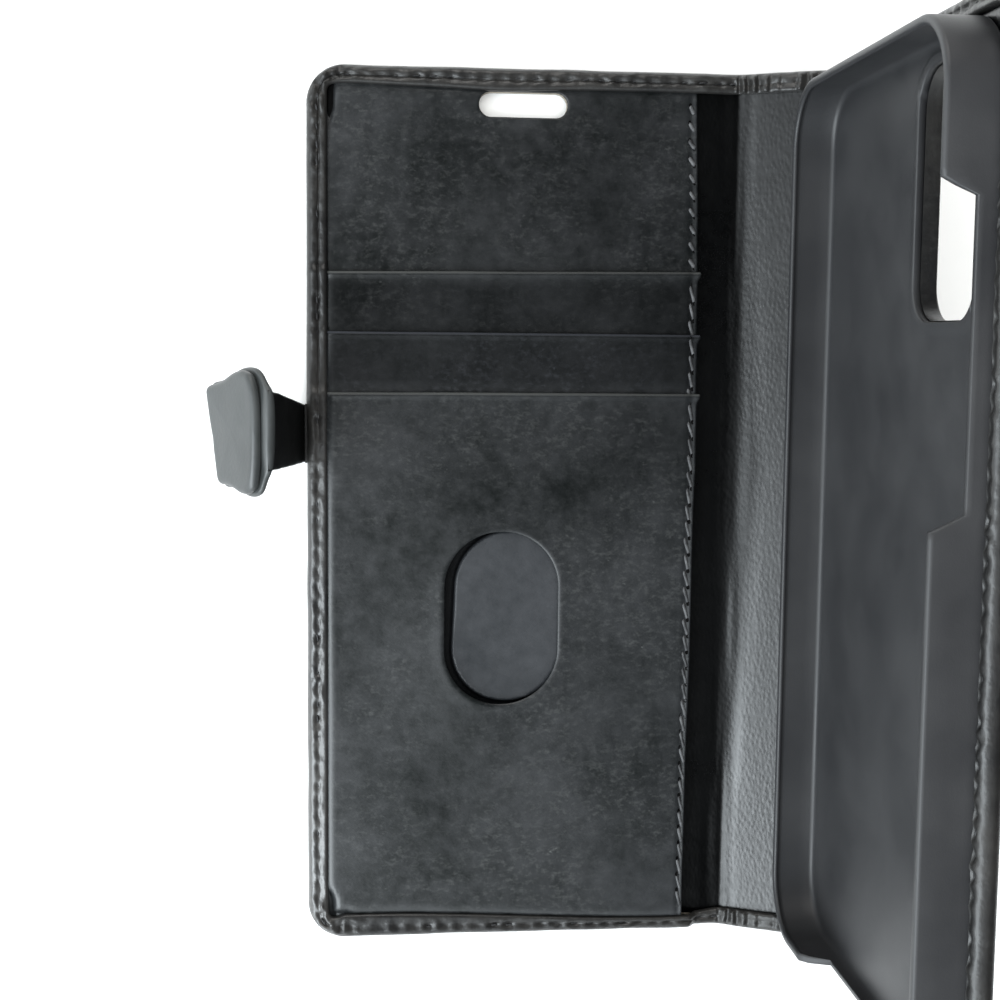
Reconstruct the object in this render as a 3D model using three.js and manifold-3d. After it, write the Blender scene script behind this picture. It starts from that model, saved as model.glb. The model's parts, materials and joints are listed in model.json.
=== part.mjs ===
// Phone wallet case: a leather book cover with card slots, a phone tray and a magnetic clasp strap.
//
// Frame: millimetres, +Z up. The front cover lies on the table with its inside up, and the origin is
// the centre of its outer face. +X runs from the clasp edge to the spine, +Y towards the top edge.
// The spine and the back cover are groups turned about their fold lines, and so are the strap's
// neck and tab. Every layer ends short of a fold by its own height, so the stack folds to 90 degrees.

import * as THREE from 'three';
import { mergeVertices } from 'three/addons/utils/BufferGeometryUtils.js';
import Module from 'manifold-3d';

const wasm = await Module();
wasm.setup();

// Book cover
const COVER_HEIGHT = 162;
const COVER_WIDTH = 79.4;
const SPINE_WIDTH = 20;
const CORNER_RADIUS = 7;
const LEATHER = 1.0;
const HEM_WIDTH = 3.8;
const HEM_LEATHER = 0.8;
const HEM_CORNER_RADIUS = 0.3;
const BACK_HEM_WIDTH = 2.2;
const FOLD_GAP = 0.3;
const LAYER_GAP = 0.1;
const PAST = 1;

// Heights of the layers over the table, low and high face
const AXIS_HEIGHT = 0.5;
const BOARD = [1.1, 2.0];
const LINING = [2.05, 2.55];
const BACKING_MARGIN = [2.6, 2.95];
const BACKING_BODY = [2.6, 3.3];
const PLAIN_HEM_BASE = 2.65;

// Card pockets: each slot panel lies on the one before it, and is thinner where the hem holds it
const SLOT_MOUTHS = [44.3, 33.2, 22.1];
const SLOT_MARGIN_BASE = 3.0;
const SLOT_MARGIN_LEATHER = 0.35;
const SLOT_MARGIN_STEP = 0.4;
const SLOT_BODY_BASE = 3.4;
const SLOT_BODY_LEATHER = 0.6;
const SLOT_BODY_STEP = 0.7;
const FRONT_PANEL_LEATHER = 0.7;
const POCKET_EDGE = 31.9;
const POCKET_RAMP = 1.4;
const SEAM_INSET = 1.1;
const HEM_STEP_X = 33.2;
const THUMB_HOLE = { x: -3.6, y: -19.7, width: 21.7, height: 33 };
const EARPIECE_SLOT = { x: -0.4, y: 74.4, width: 16.2, height: 4.5 };

// Phone tray, in the back cover's own frame, sized for a phone of 151.7 x 71.2 x 7.4
const TRAY = { x0: 3.4, x1: 77.0, height: 154.2, base: 2.15, rim: 10.75, radius: 11 };
const TRAY_WALL = 1.0;
const TRAY_LIP = { depth: 0.7, width: 0.5 };
const CAMERA_WINDOW = { x: 59, y: 54, width: 24, height: 38, radius: 6 };
const BUTTON_NOTCH = { y: 30, length: 46, depth: 5 };
const PORT_NOTCH = { width: 34, depth: 5.2 };

// Clasp strap. Its outer leather is level from neck to tab, and the tab's pad stands on the lining side.
const STRAP_Y = 14.35;
const NECK_LEAN = 0.075;
const STRAP_ROOT = { x: -COVER_WIDTH / 2 - 1.1, z: 1.3 };
const STRAP_ROOT_GAP = 1.4;
const NECK_LENGTH = 22.35;
const NECK_WIDTHS = [10.9, 13.8];
const NECK_HALF = 0.9;
const TAB_FOLD_GAP = 2.6;
const TAB_LENGTH = 15.9;
const TAB_LEAN = -0.09;
const TAB_FAN = 0.0133;
const TAB_OUTER_LEATHER = 1.1;
const TAB_PAD_TOP = 2.3;
const TAB_PAD_INSET = 0.4;
const MAGNET = { radius: 4, thickness: 0.9, along: 8.2, apart: 9 };
const ANCHOR_LENGTH = 14;
const ANCHOR_LEATHER = 0.8;

// Angles over the table at rest, in degrees
const SPINE_ANGLE = 25;
const BACK_ANGLE = 90;
const NECK_ANGLE = 78;
const TAB_ANGLE = -52;

const ROUND_STEPS = 8;
const ROUND_END = 0.49;

const finishes = {
  outer_leather: { color: '#1c1d20', roughness: 0.55, metalness: 0 },
  pocket_leather: { color: '#191b1e', roughness: 0.4, metalness: 0 },
  lining_leather: { color: '#2b2d31', roughness: 0.6, metalness: 0 },
  board: { color: '#8c8374', roughness: 0.9, metalness: 0 },
  tray_plastic: { color: '#17181a', roughness: 0.5, metalness: 0 },
  magnet: { color: '#b4b6b8', roughness: 0.35, metalness: 1 },
  thread: { color: '#77797c', roughness: 0.8, metalness: 0 },
};
const materials = Object.fromEntries(
  Object.entries(finishes).map(([name, finish]) => [name, new THREE.MeshStandardMaterial(finish)]),
);

// ---- Solids

function toSolid(geometry) {
  const bare = geometry.clone();
  bare.deleteAttribute('normal');
  bare.deleteAttribute('uv');
  const merged = mergeVertices(bare, 1e-5);
  return new wasm.Manifold(new wasm.Mesh({
    numProp: 3,
    vertProperties: new Float32Array(merged.attributes.position.array),
    triVerts: new Uint32Array(merged.index.array),
  }));
}

function makePart(name, solid, finish) {
  const { vertProperties, triVerts } = solid.getMesh();
  const geometry = new THREE.BufferGeometry();
  geometry.setAttribute('position', new THREE.BufferAttribute(vertProperties, 3));
  geometry.setIndex(new THREE.BufferAttribute(triVerts, 1));
  const part = new THREE.Mesh(geometry, materials[finish]);
  part.geometry.computeVertexNormals();
  part.name = name;
  return part;
}

function box(x0, x1, y0, y1, z0, z1) {
  const geometry = new THREE.BoxGeometry(x1 - x0, y1 - y0, z1 - z0);
  geometry.translate((x0 + x1) / 2, (y0 + y1) / 2, (z0 + z1) / 2);
  return toSolid(geometry);
}

function extrude(shape, z0, z1) {
  const options = { depth: z1 - z0, bevelEnabled: false, curveSegments: ROUND_STEPS };
  const geometry = new THREE.ExtrudeGeometry(shape, options);
  geometry.translate(0, 0, z0);
  return toSolid(geometry);
}

// A rectangle whose left and right corners may have their own radii; a radius of 0 is a square corner
function roundedRect(x0, x1, y0, y1, leftRadius, rightRadius) {
  const shape = new THREE.Shape();
  shape.moveTo(x0 + leftRadius, y0);
  shape.lineTo(x1 - rightRadius, y0);
  if (rightRadius) shape.absarc(x1 - rightRadius, y0 + rightRadius, rightRadius, -Math.PI / 2, 0);
  shape.lineTo(x1, y1 - rightRadius);
  if (rightRadius) shape.absarc(x1 - rightRadius, y1 - rightRadius, rightRadius, 0, Math.PI / 2);
  shape.lineTo(x0 + leftRadius, y1);
  if (leftRadius) shape.absarc(x0 + leftRadius, y1 - leftRadius, leftRadius, Math.PI / 2, Math.PI);
  shape.lineTo(x0, y0 + leftRadius);
  if (leftRadius) shape.absarc(x0 + leftRadius, y0 + leftRadius, leftRadius, Math.PI, Math.PI * 1.5);
  return shape;
}

function centredHole({ x, y, width, height, radius }, z0, z1) {
  const corner = radius ?? Math.min(width, height) * ROUND_END;
  const outline = roundedRect(x - width / 2, x + width / 2, y - height / 2, y + height / 2, corner, corner);
  return extrude(outline, z0 - PAST, z1 + PAST);
}

function disc(x, y, radius, z0, z1) {
  const geometry = new THREE.CylinderGeometry(radius, radius, z1 - z0, ROUND_STEPS * 3);
  geometry.rotateX(Math.PI / 2);
  geometry.translate(x, y, (z0 + z1) / 2);
  return toSolid(geometry);
}

// ---- Cover blanks. A cover is rounded on its free side and square at its fold side.

const halfHeight = COVER_HEIGHT / 2;
const freeEdge = -COVER_WIDTH / 2;
const foldLine = COVER_WIDTH / 2;

// The hem's own inner edge meets in a nearly square corner, like the panels that it frames
function cornerRadius(inset) {
  return inset < BACK_HEM_WIDTH ? CORNER_RADIUS - inset : HEM_CORNER_RADIUS;
}

// The front cover's outline, inset on its three hemmed sides and ending short of the fold line
function frontShape(inset, end) {
  const corner = cornerRadius(inset);
  return roundedRect(freeEdge + inset, end, inset - halfHeight, halfHeight - inset, corner, 0);
}

// The back cover's outline in its own frame, where x is the distance from its fold line
function backShape(inset, start) {
  const corner = cornerRadius(inset);
  return roundedRect(start, COVER_WIDTH - inset, inset - halfHeight, halfHeight - inset, 0, corner);
}

function foldClearance(height) {
  return height - AXIS_HEIGHT + FOLD_GAP;
}

// The hem's lowest face over the front cover rises with the slot panels that it holds
const hemZones = [
  { y0: SLOT_MOUTHS[0] + FOLD_GAP, y1: halfHeight, base: SLOT_MARGIN_BASE },
  { y0: SLOT_MOUTHS[1] + FOLD_GAP, y1: SLOT_MOUTHS[0] + FOLD_GAP, base: SLOT_MARGIN_BASE + SLOT_MARGIN_STEP },
  { y0: SLOT_MOUTHS[2] + FOLD_GAP, y1: SLOT_MOUTHS[1] + FOLD_GAP, base: SLOT_MARGIN_BASE + 2 * SLOT_MARGIN_STEP },
  { y0: -halfHeight, y1: SLOT_MOUTHS[2] + FOLD_GAP, base: SLOT_MARGIN_BASE + 3 * SLOT_MARGIN_STEP },
];

function frontCoverLeather() {
  const hemTop = hemZones.at(-1).base + HEM_LEATHER;
  const plainTop = PLAIN_HEM_BASE + HEM_LEATHER;
  const plateEnd = foldLine - foldClearance(LEATHER);
  const hemEnd = foldLine - foldClearance(plainTop);
  const pastEdge = halfHeight + PAST;
  const wallInside = extrude(frontShape(LEATHER, foldLine), LEATHER, hemTop);
  let hollow = extrude(frontShape(HEM_WIDTH, foldLine), PLAIN_HEM_BASE - LAYER_GAP, hemTop + PAST);
  for (const { y0, y1, base } of hemZones) {
    hollow = hollow.add(wallInside.intersect(box(freeEdge, HEM_STEP_X, y0, y1, LEATHER, base)));
  }
  const plainUnder = box(HEM_STEP_X - LAYER_GAP, foldLine, -halfHeight, halfHeight, LEATHER, PLAIN_HEM_BASE);
  hollow = hollow.add(wallInside.intersect(plainUnder));
  let leather = extrude(frontShape(0, plateEnd), 0, hemTop).subtract(hollow);
  for (const { y0, y1, base } of hemZones.slice(0, -1)) {
    const over = box(freeEdge - PAST, foldLine, y0, y1 + PAST, base + HEM_LEATHER, hemTop + PAST);
    leather = leather.subtract(over);
  }
  const riserEnd = HEM_STEP_X + HEM_LEATHER;
  leather = leather.subtract(box(riserEnd, foldLine, -pastEdge, pastEdge, plainTop, hemTop + PAST));
  leather = leather.subtract(box(hemEnd, foldLine, -pastEdge, pastEdge, LEATHER, hemTop + PAST));
  const slit = NECK_WIDTHS[0] / 2 + FOLD_GAP;
  const slitTop = BOARD[0] + ANCHOR_LEATHER + LAYER_GAP;
  leather = leather.subtract(
    box(freeEdge - PAST, freeEdge + LEATHER + PAST, STRAP_Y - slit, STRAP_Y + slit, LEATHER, slitTop),
  );
  return leather.subtract(centredHole(EARPIECE_SLOT, 0, LEATHER));
}

// A board or lining sheet of the front cover: it lies inside the turned edge
function frontSheet([low, high], inset) {
  const end = foldLine - foldClearance(high);
  return extrude(frontShape(inset, end), low, high).subtract(centredHole(EARPIECE_SLOT, low, high));
}

// A panel whose hemmed sides are thin and low, and whose middle is lifted to its own height. Both
// faces are split along the same diagonals, so that stacked panels never cross.
function drapedPanel(xStations, yStations, margin, body) {
  const columns = xStations.length;
  const rows = yStations.length;
  const positions = [];
  for (const face of [0, 1]) {
    for (const row of yStations) {
      for (const column of xStations) {
        const lift = Math.min(column.lift, row.lift);
        positions.push(column.at, row.at, THREE.MathUtils.lerp(margin[face], body[face], lift));
      }
    }
  }
  const vertex = (face, row, column) => (face * rows + row) * columns + column;
  const indices = [];
  const addQuad = (a, b, c, d) => indices.push(a, b, c, a, c, d);
  for (let row = 0; row < rows - 1; row += 1) {
    for (let column = 0; column < columns - 1; column += 1) {
      const corners = [[row, column], [row, column + 1], [row + 1, column + 1], [row + 1, column]];
      addQuad(...corners.map((corner) => vertex(1, ...corner)));
      const [a, b, c, d] = corners.map((corner) => vertex(0, ...corner));
      addQuad(a, d, c, b);
    }
  }
  for (let row = 0; row < rows - 1; row += 1) {
    const last = columns - 1;
    addQuad(vertex(0, row, last), vertex(0, row + 1, last), vertex(1, row + 1, last), vertex(1, row, last));
    addQuad(vertex(0, row + 1, 0), vertex(0, row, 0), vertex(1, row, 0), vertex(1, row + 1, 0));
  }
  for (let column = 0; column < columns - 1; column += 1) {
    const last = rows - 1;
    addQuad(vertex(0, 0, column), vertex(0, 0, column + 1), vertex(1, 0, column + 1), vertex(1, 0, column));
    addQuad(
      vertex(0, last, column + 1), vertex(0, last, column), vertex(1, last, column), vertex(1, last, column + 1),
    );
  }
  const geometry = new THREE.BufferGeometry();
  geometry.setAttribute('position', new THREE.Float32BufferAttribute(positions, 3));
  geometry.setIndex(indices);
  const outline = frontShape(LEATHER + LAYER_GAP, foldLine);
  return toSolid(geometry).intersect(extrude(outline, 0, body[1] + PAST));
}

const panelColumns = [
  { at: freeEdge, lift: 0 },
  { at: freeEdge + HEM_WIDTH + LAYER_GAP, lift: 0 },
  { at: freeEdge + HEM_WIDTH + POCKET_RAMP, lift: 1 },
  { at: POCKET_EDGE, lift: 1 },
];
const bottomRows = [
  { at: -halfHeight, lift: 0 },
  { at: -halfHeight + HEM_WIDTH + LAYER_GAP, lift: 0 },
  { at: -halfHeight + HEM_WIDTH + POCKET_RAMP, lift: 1 },
];

function pocketBacking() {
  const topRows = bottomRows.map(({ at, lift }) => ({ at: -at, lift })).reverse();
  const panel = drapedPanel(panelColumns, [...bottomRows, ...topRows], BACKING_MARGIN, BACKING_BODY);
  return panel.subtract(centredHole(EARPIECE_SLOT, ...BACKING_BODY));
}

function slotHeights(index) {
  const marginLow = SLOT_MARGIN_BASE + index * SLOT_MARGIN_STEP;
  const bodyLow = SLOT_BODY_BASE + index * SLOT_BODY_STEP;
  const isFront = index === SLOT_MOUTHS.length - 1;
  const bodyLeather = isFront ? FRONT_PANEL_LEATHER : SLOT_BODY_LEATHER;
  return {
    margin: [marginLow, marginLow + SLOT_MARGIN_LEATHER],
    body: [bodyLow, bodyLow + bodyLeather],
  };
}

function slotPanel(index) {
  const { margin, body } = slotHeights(index);
  const rows = [...bottomRows, { at: SLOT_MOUTHS[index], lift: 1 }];
  const panel = drapedPanel(panelColumns, rows, margin, body);
  const isFront = index === SLOT_MOUTHS.length - 1;
  return isFront ? panel.subtract(centredHole(THUMB_HOLE, ...body)) : panel;
}

// The seam's thread steps down from panel to panel on its way from the bottom hem to the top one
function seamThread() {
  const threadHeight = 0.3;
  const threadWidth = 0.5;
  const start = -halfHeight + HEM_WIDTH + POCKET_RAMP + PAST;
  const end = halfHeight - HEM_WIDTH - POCKET_RAMP - PAST;
  const low = [];
  let from = start;
  for (let index = SLOT_MOUTHS.length - 1; index >= 0; index -= 1) {
    const over = slotHeights(index).body[1] + LAYER_GAP;
    const to = SLOT_MOUTHS[index] + LAYER_GAP + threadHeight;
    low.push([from, over], [to, over]);
    from = to;
  }
  low.push([from, BACKING_BODY[1] + LAYER_GAP], [end, BACKING_BODY[1] + LAYER_GAP]);
  const high = low.map(([y, z], i) => {
    const isInner = i > 0 && i < low.length - 1;
    return [isInner ? y + threadHeight : y, z + threadHeight];
  });
  const shape = new THREE.Shape([...low, ...high.reverse()].map(([y, z]) => new THREE.Vector2(y, z)));
  const options = { depth: threadWidth, bevelEnabled: false };
  const geometry = new THREE.ExtrudeGeometry(shape, options);
  geometry.rotateX(Math.PI / 2);
  geometry.rotateZ(Math.PI / 2);
  geometry.translate(POCKET_EDGE - SEAM_INSET - threadWidth / 2, 0, 0);
  return toSolid(geometry);
}

function strapAnchor() {
  const half = NECK_WIDTHS[0] / 2;
  const start = STRAP_ROOT.x + STRAP_ROOT_GAP / 2;
  const low = BOARD[0] - LAYER_GAP / 2;
  return box(start, freeEdge + ANCHOR_LENGTH, STRAP_Y - half, STRAP_Y + half, low, low + ANCHOR_LEATHER);
}

function frontBoard() {
  const half = NECK_WIDTHS[0] / 2 + FOLD_GAP;
  const notchEnd = freeEdge + ANCHOR_LENGTH + FOLD_GAP;
  const notch = box(freeEdge, notchEnd, STRAP_Y - half, STRAP_Y + half, BOARD[0] - PAST, BOARD[1] + PAST);
  return frontSheet(BOARD, LEATHER * 2).subtract(notch);
}

// ---- Spine, in its own frame: x from the front fold line, z over that line

function overAxis([low, high]) {
  return [low - AXIS_HEIGHT, high - AXIS_HEIGHT];
}

function spineLeather() {
  const gap = foldClearance(LEATHER);
  const hemTop = PLAIN_HEM_BASE + HEM_LEATHER - AXIS_HEIGHT;
  const hemGap = hemTop + FOLD_GAP;
  const top = LEATHER - AXIS_HEIGHT;
  const plate = box(gap, SPINE_WIDTH - gap, -halfHeight, halfHeight, -AXIS_HEIGHT, top);
  let turned = box(hemGap, SPINE_WIDTH - hemGap, -halfHeight, halfHeight, 0, hemTop);
  const under = halfHeight - LEATHER;
  turned = turned.subtract(box(0, SPINE_WIDTH, -under, under, -PAST, PLAIN_HEM_BASE - AXIS_HEIGHT));
  const open = halfHeight - HEM_WIDTH;
  turned = turned.subtract(box(0, SPINE_WIDTH, -open, open, -PAST, hemTop + PAST));
  return plate.add(turned);
}

function spineSheet(layer, inset) {
  const [low, high] = overAxis(layer);
  const gap = high + FOLD_GAP;
  return box(gap, SPINE_WIDTH - gap, inset - halfHeight, halfHeight - inset, low, high);
}

// ---- Back cover, in its own frame: x from the back fold line, z over that line

function cameraWindow(z0, z1) {
  return centredHole(CAMERA_WINDOW, z0, z1);
}

function backCoverLeather() {
  const hemTop = PLAIN_HEM_BASE + HEM_LEATHER - AXIS_HEIGHT;
  const plateTop = LEATHER - AXIS_HEIGHT;
  const gap = foldClearance(LEATHER);
  let leather = extrude(backShape(0, gap), -AXIS_HEIGHT, hemTop);
  const hemBase = PLAIN_HEM_BASE - AXIS_HEIGHT;
  const hollow = extrude(backShape(LEATHER, 0), plateTop, hemBase);
  leather = leather.subtract(hollow);
  leather = leather.subtract(extrude(backShape(BACK_HEM_WIDTH, 0), hemBase - LAYER_GAP, hemTop + PAST));
  const pastEdge = halfHeight + PAST;
  leather = leather.subtract(box(-PAST, hemTop + FOLD_GAP, -pastEdge, pastEdge, plateTop, hemTop + PAST));
  return leather.subtract(cameraWindow(-AXIS_HEIGHT, plateTop));
}

function backSheet(layer, inset) {
  const [low, high] = overAxis(layer);
  return extrude(backShape(inset, high + FOLD_GAP), low, high).subtract(cameraWindow(low, high));
}

// The middle of the closed tab over the back cover, where both pairs of magnets meet
const claspY = STRAP_Y + NECK_LEAN * NECK_LENGTH + TAB_LEAN * MAGNET.along;
const keeperX = foldLine - (STRAP_ROOT.x + MAGNET.along);
const magnetSides = { lower: -MAGNET.apart / 2, upper: MAGNET.apart / 2 };

function backBoard() {
  let board = backSheet(BOARD, LEATHER * 2);
  const [low, high] = overAxis(BOARD);
  for (const side of Object.values(magnetSides)) {
    board = board.subtract(disc(keeperX, claspY + side, MAGNET.radius + FOLD_GAP, low - PAST, high + PAST));
  }
  return board;
}

function keeperMagnet(side) {
  const low = BOARD[0] - AXIS_HEIGHT;
  return disc(keeperX, claspY + side, MAGNET.radius, low, low + MAGNET.thickness);
}

function phoneTray() {
  const halfTray = TRAY.height / 2;
  const trayShape = (inset) => roundedRect(
    TRAY.x0 + inset, TRAY.x1 - inset, inset - halfTray, halfTray - inset, TRAY.radius - inset, TRAY.radius - inset,
  );
  const floor = TRAY.base + TRAY_WALL;
  const lipBase = TRAY.rim - TRAY_LIP.depth;
  let tray = extrude(trayShape(0), TRAY.base, TRAY.rim);
  tray = tray.subtract(extrude(trayShape(TRAY_WALL), floor, lipBase));
  tray = tray.subtract(extrude(trayShape(TRAY_WALL + TRAY_LIP.width), floor, TRAY.rim + PAST));
  tray = tray.subtract(cameraWindow(TRAY.base, floor));
  const { y, length, depth } = BUTTON_NOTCH;
  const wallDepth = TRAY_WALL + TRAY_LIP.width + PAST;
  tray = tray.subtract(
    box(TRAY.x1 - wallDepth, TRAY.x1 + PAST, y - length / 2, y + length / 2, TRAY.rim - depth, TRAY.rim + PAST),
  );
  const middle = (TRAY.x0 + TRAY.x1) / 2;
  const [left, right] = [middle - PORT_NOTCH.width / 2, middle + PORT_NOTCH.width / 2];
  return tray.subtract(
    box(left, right, -halfTray - PAST, -halfTray + wallDepth, TRAY.rim - PORT_NOTCH.depth, TRAY.rim + PAST),
  );
}

// ---- Clasp strap. Its own frame: the strap runs along -x from its fold line, with its lining up

function neckShape() {
  const [rootHalf, tabHalf] = NECK_WIDTHS.map((width) => width / 2);
  const point = (along, across) => new THREE.Vector2(-along, across + NECK_LEAN * along);
  const end = NECK_LENGTH - TAB_FOLD_GAP;
  return new THREE.Shape([
    point(STRAP_ROOT_GAP, rootHalf),
    point(end, tabHalf),
    point(end, -tabHalf),
    point(STRAP_ROOT_GAP, -rootHalf),
  ]);
}

// The twisted tab is a little longer on its upper side, and leans back towards the lower one
function tabPoint(along, across) {
  return new THREE.Vector2(-along * (1 + TAB_FAN * across), across + TAB_LEAN * along);
}

// The tab's edge swells from the neck into round lobes, then draws in to its square end
function tabShape(inset) {
  const root = 7.3;
  const shoulder = { along: 3, half: 10.7 };
  const waist = { along: 9, half: 10.45 };
  const endHalf = 9.3;
  const corner = 1.5;
  const side = (sign) => {
    const at = (along, across) => tabPoint(along, sign * across);
    const edge = new THREE.CurvePath();
    const waistPoint = at(waist.along, waist.half);
    const shoulderPoint = at(shoulder.along, shoulder.half);
    const endPoint = at(TAB_LENGTH - corner, endHalf);
    edge.add(new THREE.CubicBezierCurve(at(TAB_FOLD_GAP, root), at(2.6, 8.4), at(2.4, 10.0), shoulderPoint));
    edge.add(new THREE.CubicBezierCurve(shoulderPoint, at(4.2, 11.3), at(6.8, 11.5), waistPoint));
    edge.add(new THREE.CubicBezierCurve(waistPoint, at(11, 9.6), at(12.5, 9.4), endPoint));
    edge.add(new THREE.QuadraticBezierCurve(endPoint, at(TAB_LENGTH, endHalf), at(TAB_LENGTH, endHalf - corner)));
    return edge.getPoints(ROUND_STEPS);
  };
  const middle = tabPoint(TAB_LENGTH / 2, 0);
  const shrink = 1 - 2 * inset / TAB_LENGTH;
  const outline = [...side(1), ...side(-1).reverse()];
  return new THREE.Shape(outline.map((point) => point.sub(middle).multiplyScalar(shrink).add(middle)));
}

const tabPadLow = TAB_OUTER_LEATHER - NECK_HALF + LAYER_GAP;

function tabMagnetDisc(side, radius, low, high) {
  const centre = tabPoint(MAGNET.along, side);
  return disc(centre.x, centre.y, radius, low, high);
}

function tabPad() {
  let pad = extrude(tabShape(TAB_PAD_INSET), tabPadLow, TAB_PAD_TOP);
  const pocketTop = tabPadLow + MAGNET.thickness + LAYER_GAP;
  for (const side of Object.values(magnetSides)) {
    pad = pad.subtract(tabMagnetDisc(side, MAGNET.radius + FOLD_GAP, tabPadLow - PAST, pocketTop));
  }
  return pad;
}

function tabMagnet(side) {
  const low = tabPadLow + LAYER_GAP / 2;
  return tabMagnetDisc(side, MAGNET.radius, low, low + MAGNET.thickness);
}

// ---- Assembly

const frontCover = new THREE.Group();
frontCover.add(
  makePart('front_cover_leather', frontCoverLeather(), 'outer_leather'),
  makePart('front_board', frontBoard(), 'board'),
  makePart('front_lining', frontSheet(LINING, LEATHER + LAYER_GAP), 'lining_leather'),
  makePart('pocket_backing', pocketBacking(), 'pocket_leather'),
  makePart('card_slot_rear', slotPanel(0), 'pocket_leather'),
  makePart('card_slot_middle', slotPanel(1), 'pocket_leather'),
  makePart('card_slot_front', slotPanel(2), 'pocket_leather'),
  makePart('pocket_seam_thread', seamThread(), 'thread'),
  makePart('strap_anchor', strapAnchor(), 'outer_leather'),
);

const spine = new THREE.Group();
spine.position.set(foldLine, 0, AXIS_HEIGHT);
spine.rotation.y = -THREE.MathUtils.degToRad(SPINE_ANGLE);
spine.add(
  makePart('spine_leather', spineLeather(), 'outer_leather'),
  makePart('spine_stiffener', spineSheet(BOARD, LEATHER * 2), 'board'),
  makePart('spine_lining', spineSheet(LINING, LEATHER + LAYER_GAP), 'lining_leather'),
);

const backCover = new THREE.Group();
backCover.position.set(SPINE_WIDTH, 0, 0);
backCover.rotation.y = -THREE.MathUtils.degToRad(BACK_ANGLE - SPINE_ANGLE);
backCover.add(
  makePart('back_cover_leather', backCoverLeather(), 'outer_leather'),
  makePart('back_board', backBoard(), 'board'),
  makePart('back_lining', backSheet(LINING, LEATHER + LAYER_GAP), 'lining_leather'),
  makePart('phone_tray', phoneTray(), 'tray_plastic'),
);
for (const [name, side] of Object.entries(magnetSides)) {
  backCover.add(makePart(`keeper_magnet_${name}`, keeperMagnet(side), 'magnet'));
}
spine.add(backCover);

const strapNeck = new THREE.Group();
strapNeck.position.set(STRAP_ROOT.x, STRAP_Y, STRAP_ROOT.z);
strapNeck.rotation.y = THREE.MathUtils.degToRad(NECK_ANGLE);
strapNeck.add(
  makePart('strap_neck_outer', extrude(neckShape(), -NECK_HALF, -LAYER_GAP / 2), 'outer_leather'),
  makePart('strap_neck_lining', extrude(neckShape(), LAYER_GAP / 2, NECK_HALF), 'pocket_leather'),
);

const strapTab = new THREE.Group();
strapTab.position.set(-NECK_LENGTH, NECK_LEAN * NECK_LENGTH, 0);
strapTab.rotation.y = THREE.MathUtils.degToRad(TAB_ANGLE - NECK_ANGLE);
strapTab.add(
  makePart('tab_outer_leather', extrude(tabShape(0), -NECK_HALF, TAB_OUTER_LEATHER - NECK_HALF), 'outer_leather'),
  makePart('tab_pad', tabPad(), 'pocket_leather'),
);
for (const [name, side] of Object.entries(magnetSides)) {
  strapTab.add(makePart(`tab_magnet_${name}`, tabMagnet(side), 'magnet'));
}
strapNeck.add(strapTab);

const walletCase = new THREE.Group();
walletCase.add(frontCover, spine, strapNeck);

export default walletCase;
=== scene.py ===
"""Leather phone wallet case: the looks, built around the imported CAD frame.

Lengths are in millimetres until make_piece() turns them into metres. The leather is laid out flat
first, as (u, y, h): u runs from the front cover's free edge over the spine to the back cover's free
edge and equals x on the front cover, y goes towards the case's top edge, and h is the height over
the table. fold_up() then bends that layout at the two folds of the spine.
"""

import json
import math

import bmesh
import bpy
import mathutils
import numpy as np
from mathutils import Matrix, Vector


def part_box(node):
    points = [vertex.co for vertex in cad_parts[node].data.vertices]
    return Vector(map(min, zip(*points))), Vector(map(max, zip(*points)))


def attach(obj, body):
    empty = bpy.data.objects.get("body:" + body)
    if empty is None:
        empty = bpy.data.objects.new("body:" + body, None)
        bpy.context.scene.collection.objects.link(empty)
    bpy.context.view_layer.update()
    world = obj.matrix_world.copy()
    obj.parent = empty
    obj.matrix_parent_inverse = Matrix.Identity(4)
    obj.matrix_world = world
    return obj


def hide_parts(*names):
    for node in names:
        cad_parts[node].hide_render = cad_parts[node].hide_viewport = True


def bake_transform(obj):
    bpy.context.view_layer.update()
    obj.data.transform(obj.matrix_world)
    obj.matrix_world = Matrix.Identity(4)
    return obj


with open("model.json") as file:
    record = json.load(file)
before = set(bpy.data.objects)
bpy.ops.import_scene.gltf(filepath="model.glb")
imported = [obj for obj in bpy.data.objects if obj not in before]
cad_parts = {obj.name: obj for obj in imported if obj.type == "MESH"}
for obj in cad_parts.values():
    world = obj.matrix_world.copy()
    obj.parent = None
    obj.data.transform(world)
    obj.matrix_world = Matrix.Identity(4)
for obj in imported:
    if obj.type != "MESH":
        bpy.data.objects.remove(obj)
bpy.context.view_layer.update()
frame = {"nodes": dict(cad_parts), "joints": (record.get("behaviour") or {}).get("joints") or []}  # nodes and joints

MM = 0.001


# ---- Measures taken from the frame

def node_box(name):
    low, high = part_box(name)
    return np.array(low) / MM, np.array(high) / MM


def joint_place(name):
    joint = next(j for j in frame["joints"] if j["name"] == name)
    return np.array(joint["pos_m"]) / MM


COVER_LOW, COVER_HIGH = node_box("front_cover_leather")
FREE_EDGE = COVER_LOW[0]
HALF_HEIGHT = COVER_HIGH[1]
FOLD_1, _, AXIS_HEIGHT = joint_place("spine_fold")
BACK_X, _, BACK_Z = joint_place("back_fold")
SPINE_WIDTH = math.hypot(BACK_X - FOLD_1, BACK_Z - AXIS_HEIGHT)
SPINE_TURN = math.atan2(BACK_Z - AXIS_HEIGHT, BACK_X - FOLD_1)
BACK_TURN = math.pi / 2
FOLD_2 = FOLD_1 + SPINE_WIDTH
COVER_WIDTH = node_box("back_cover_leather")[1][2] - BACK_Z
BACK_EDGE = FOLD_2 + COVER_WIDTH
MID_SPINE = (FOLD_1 + FOLD_2) / 2
FOLD_HALF = 4.5

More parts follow.
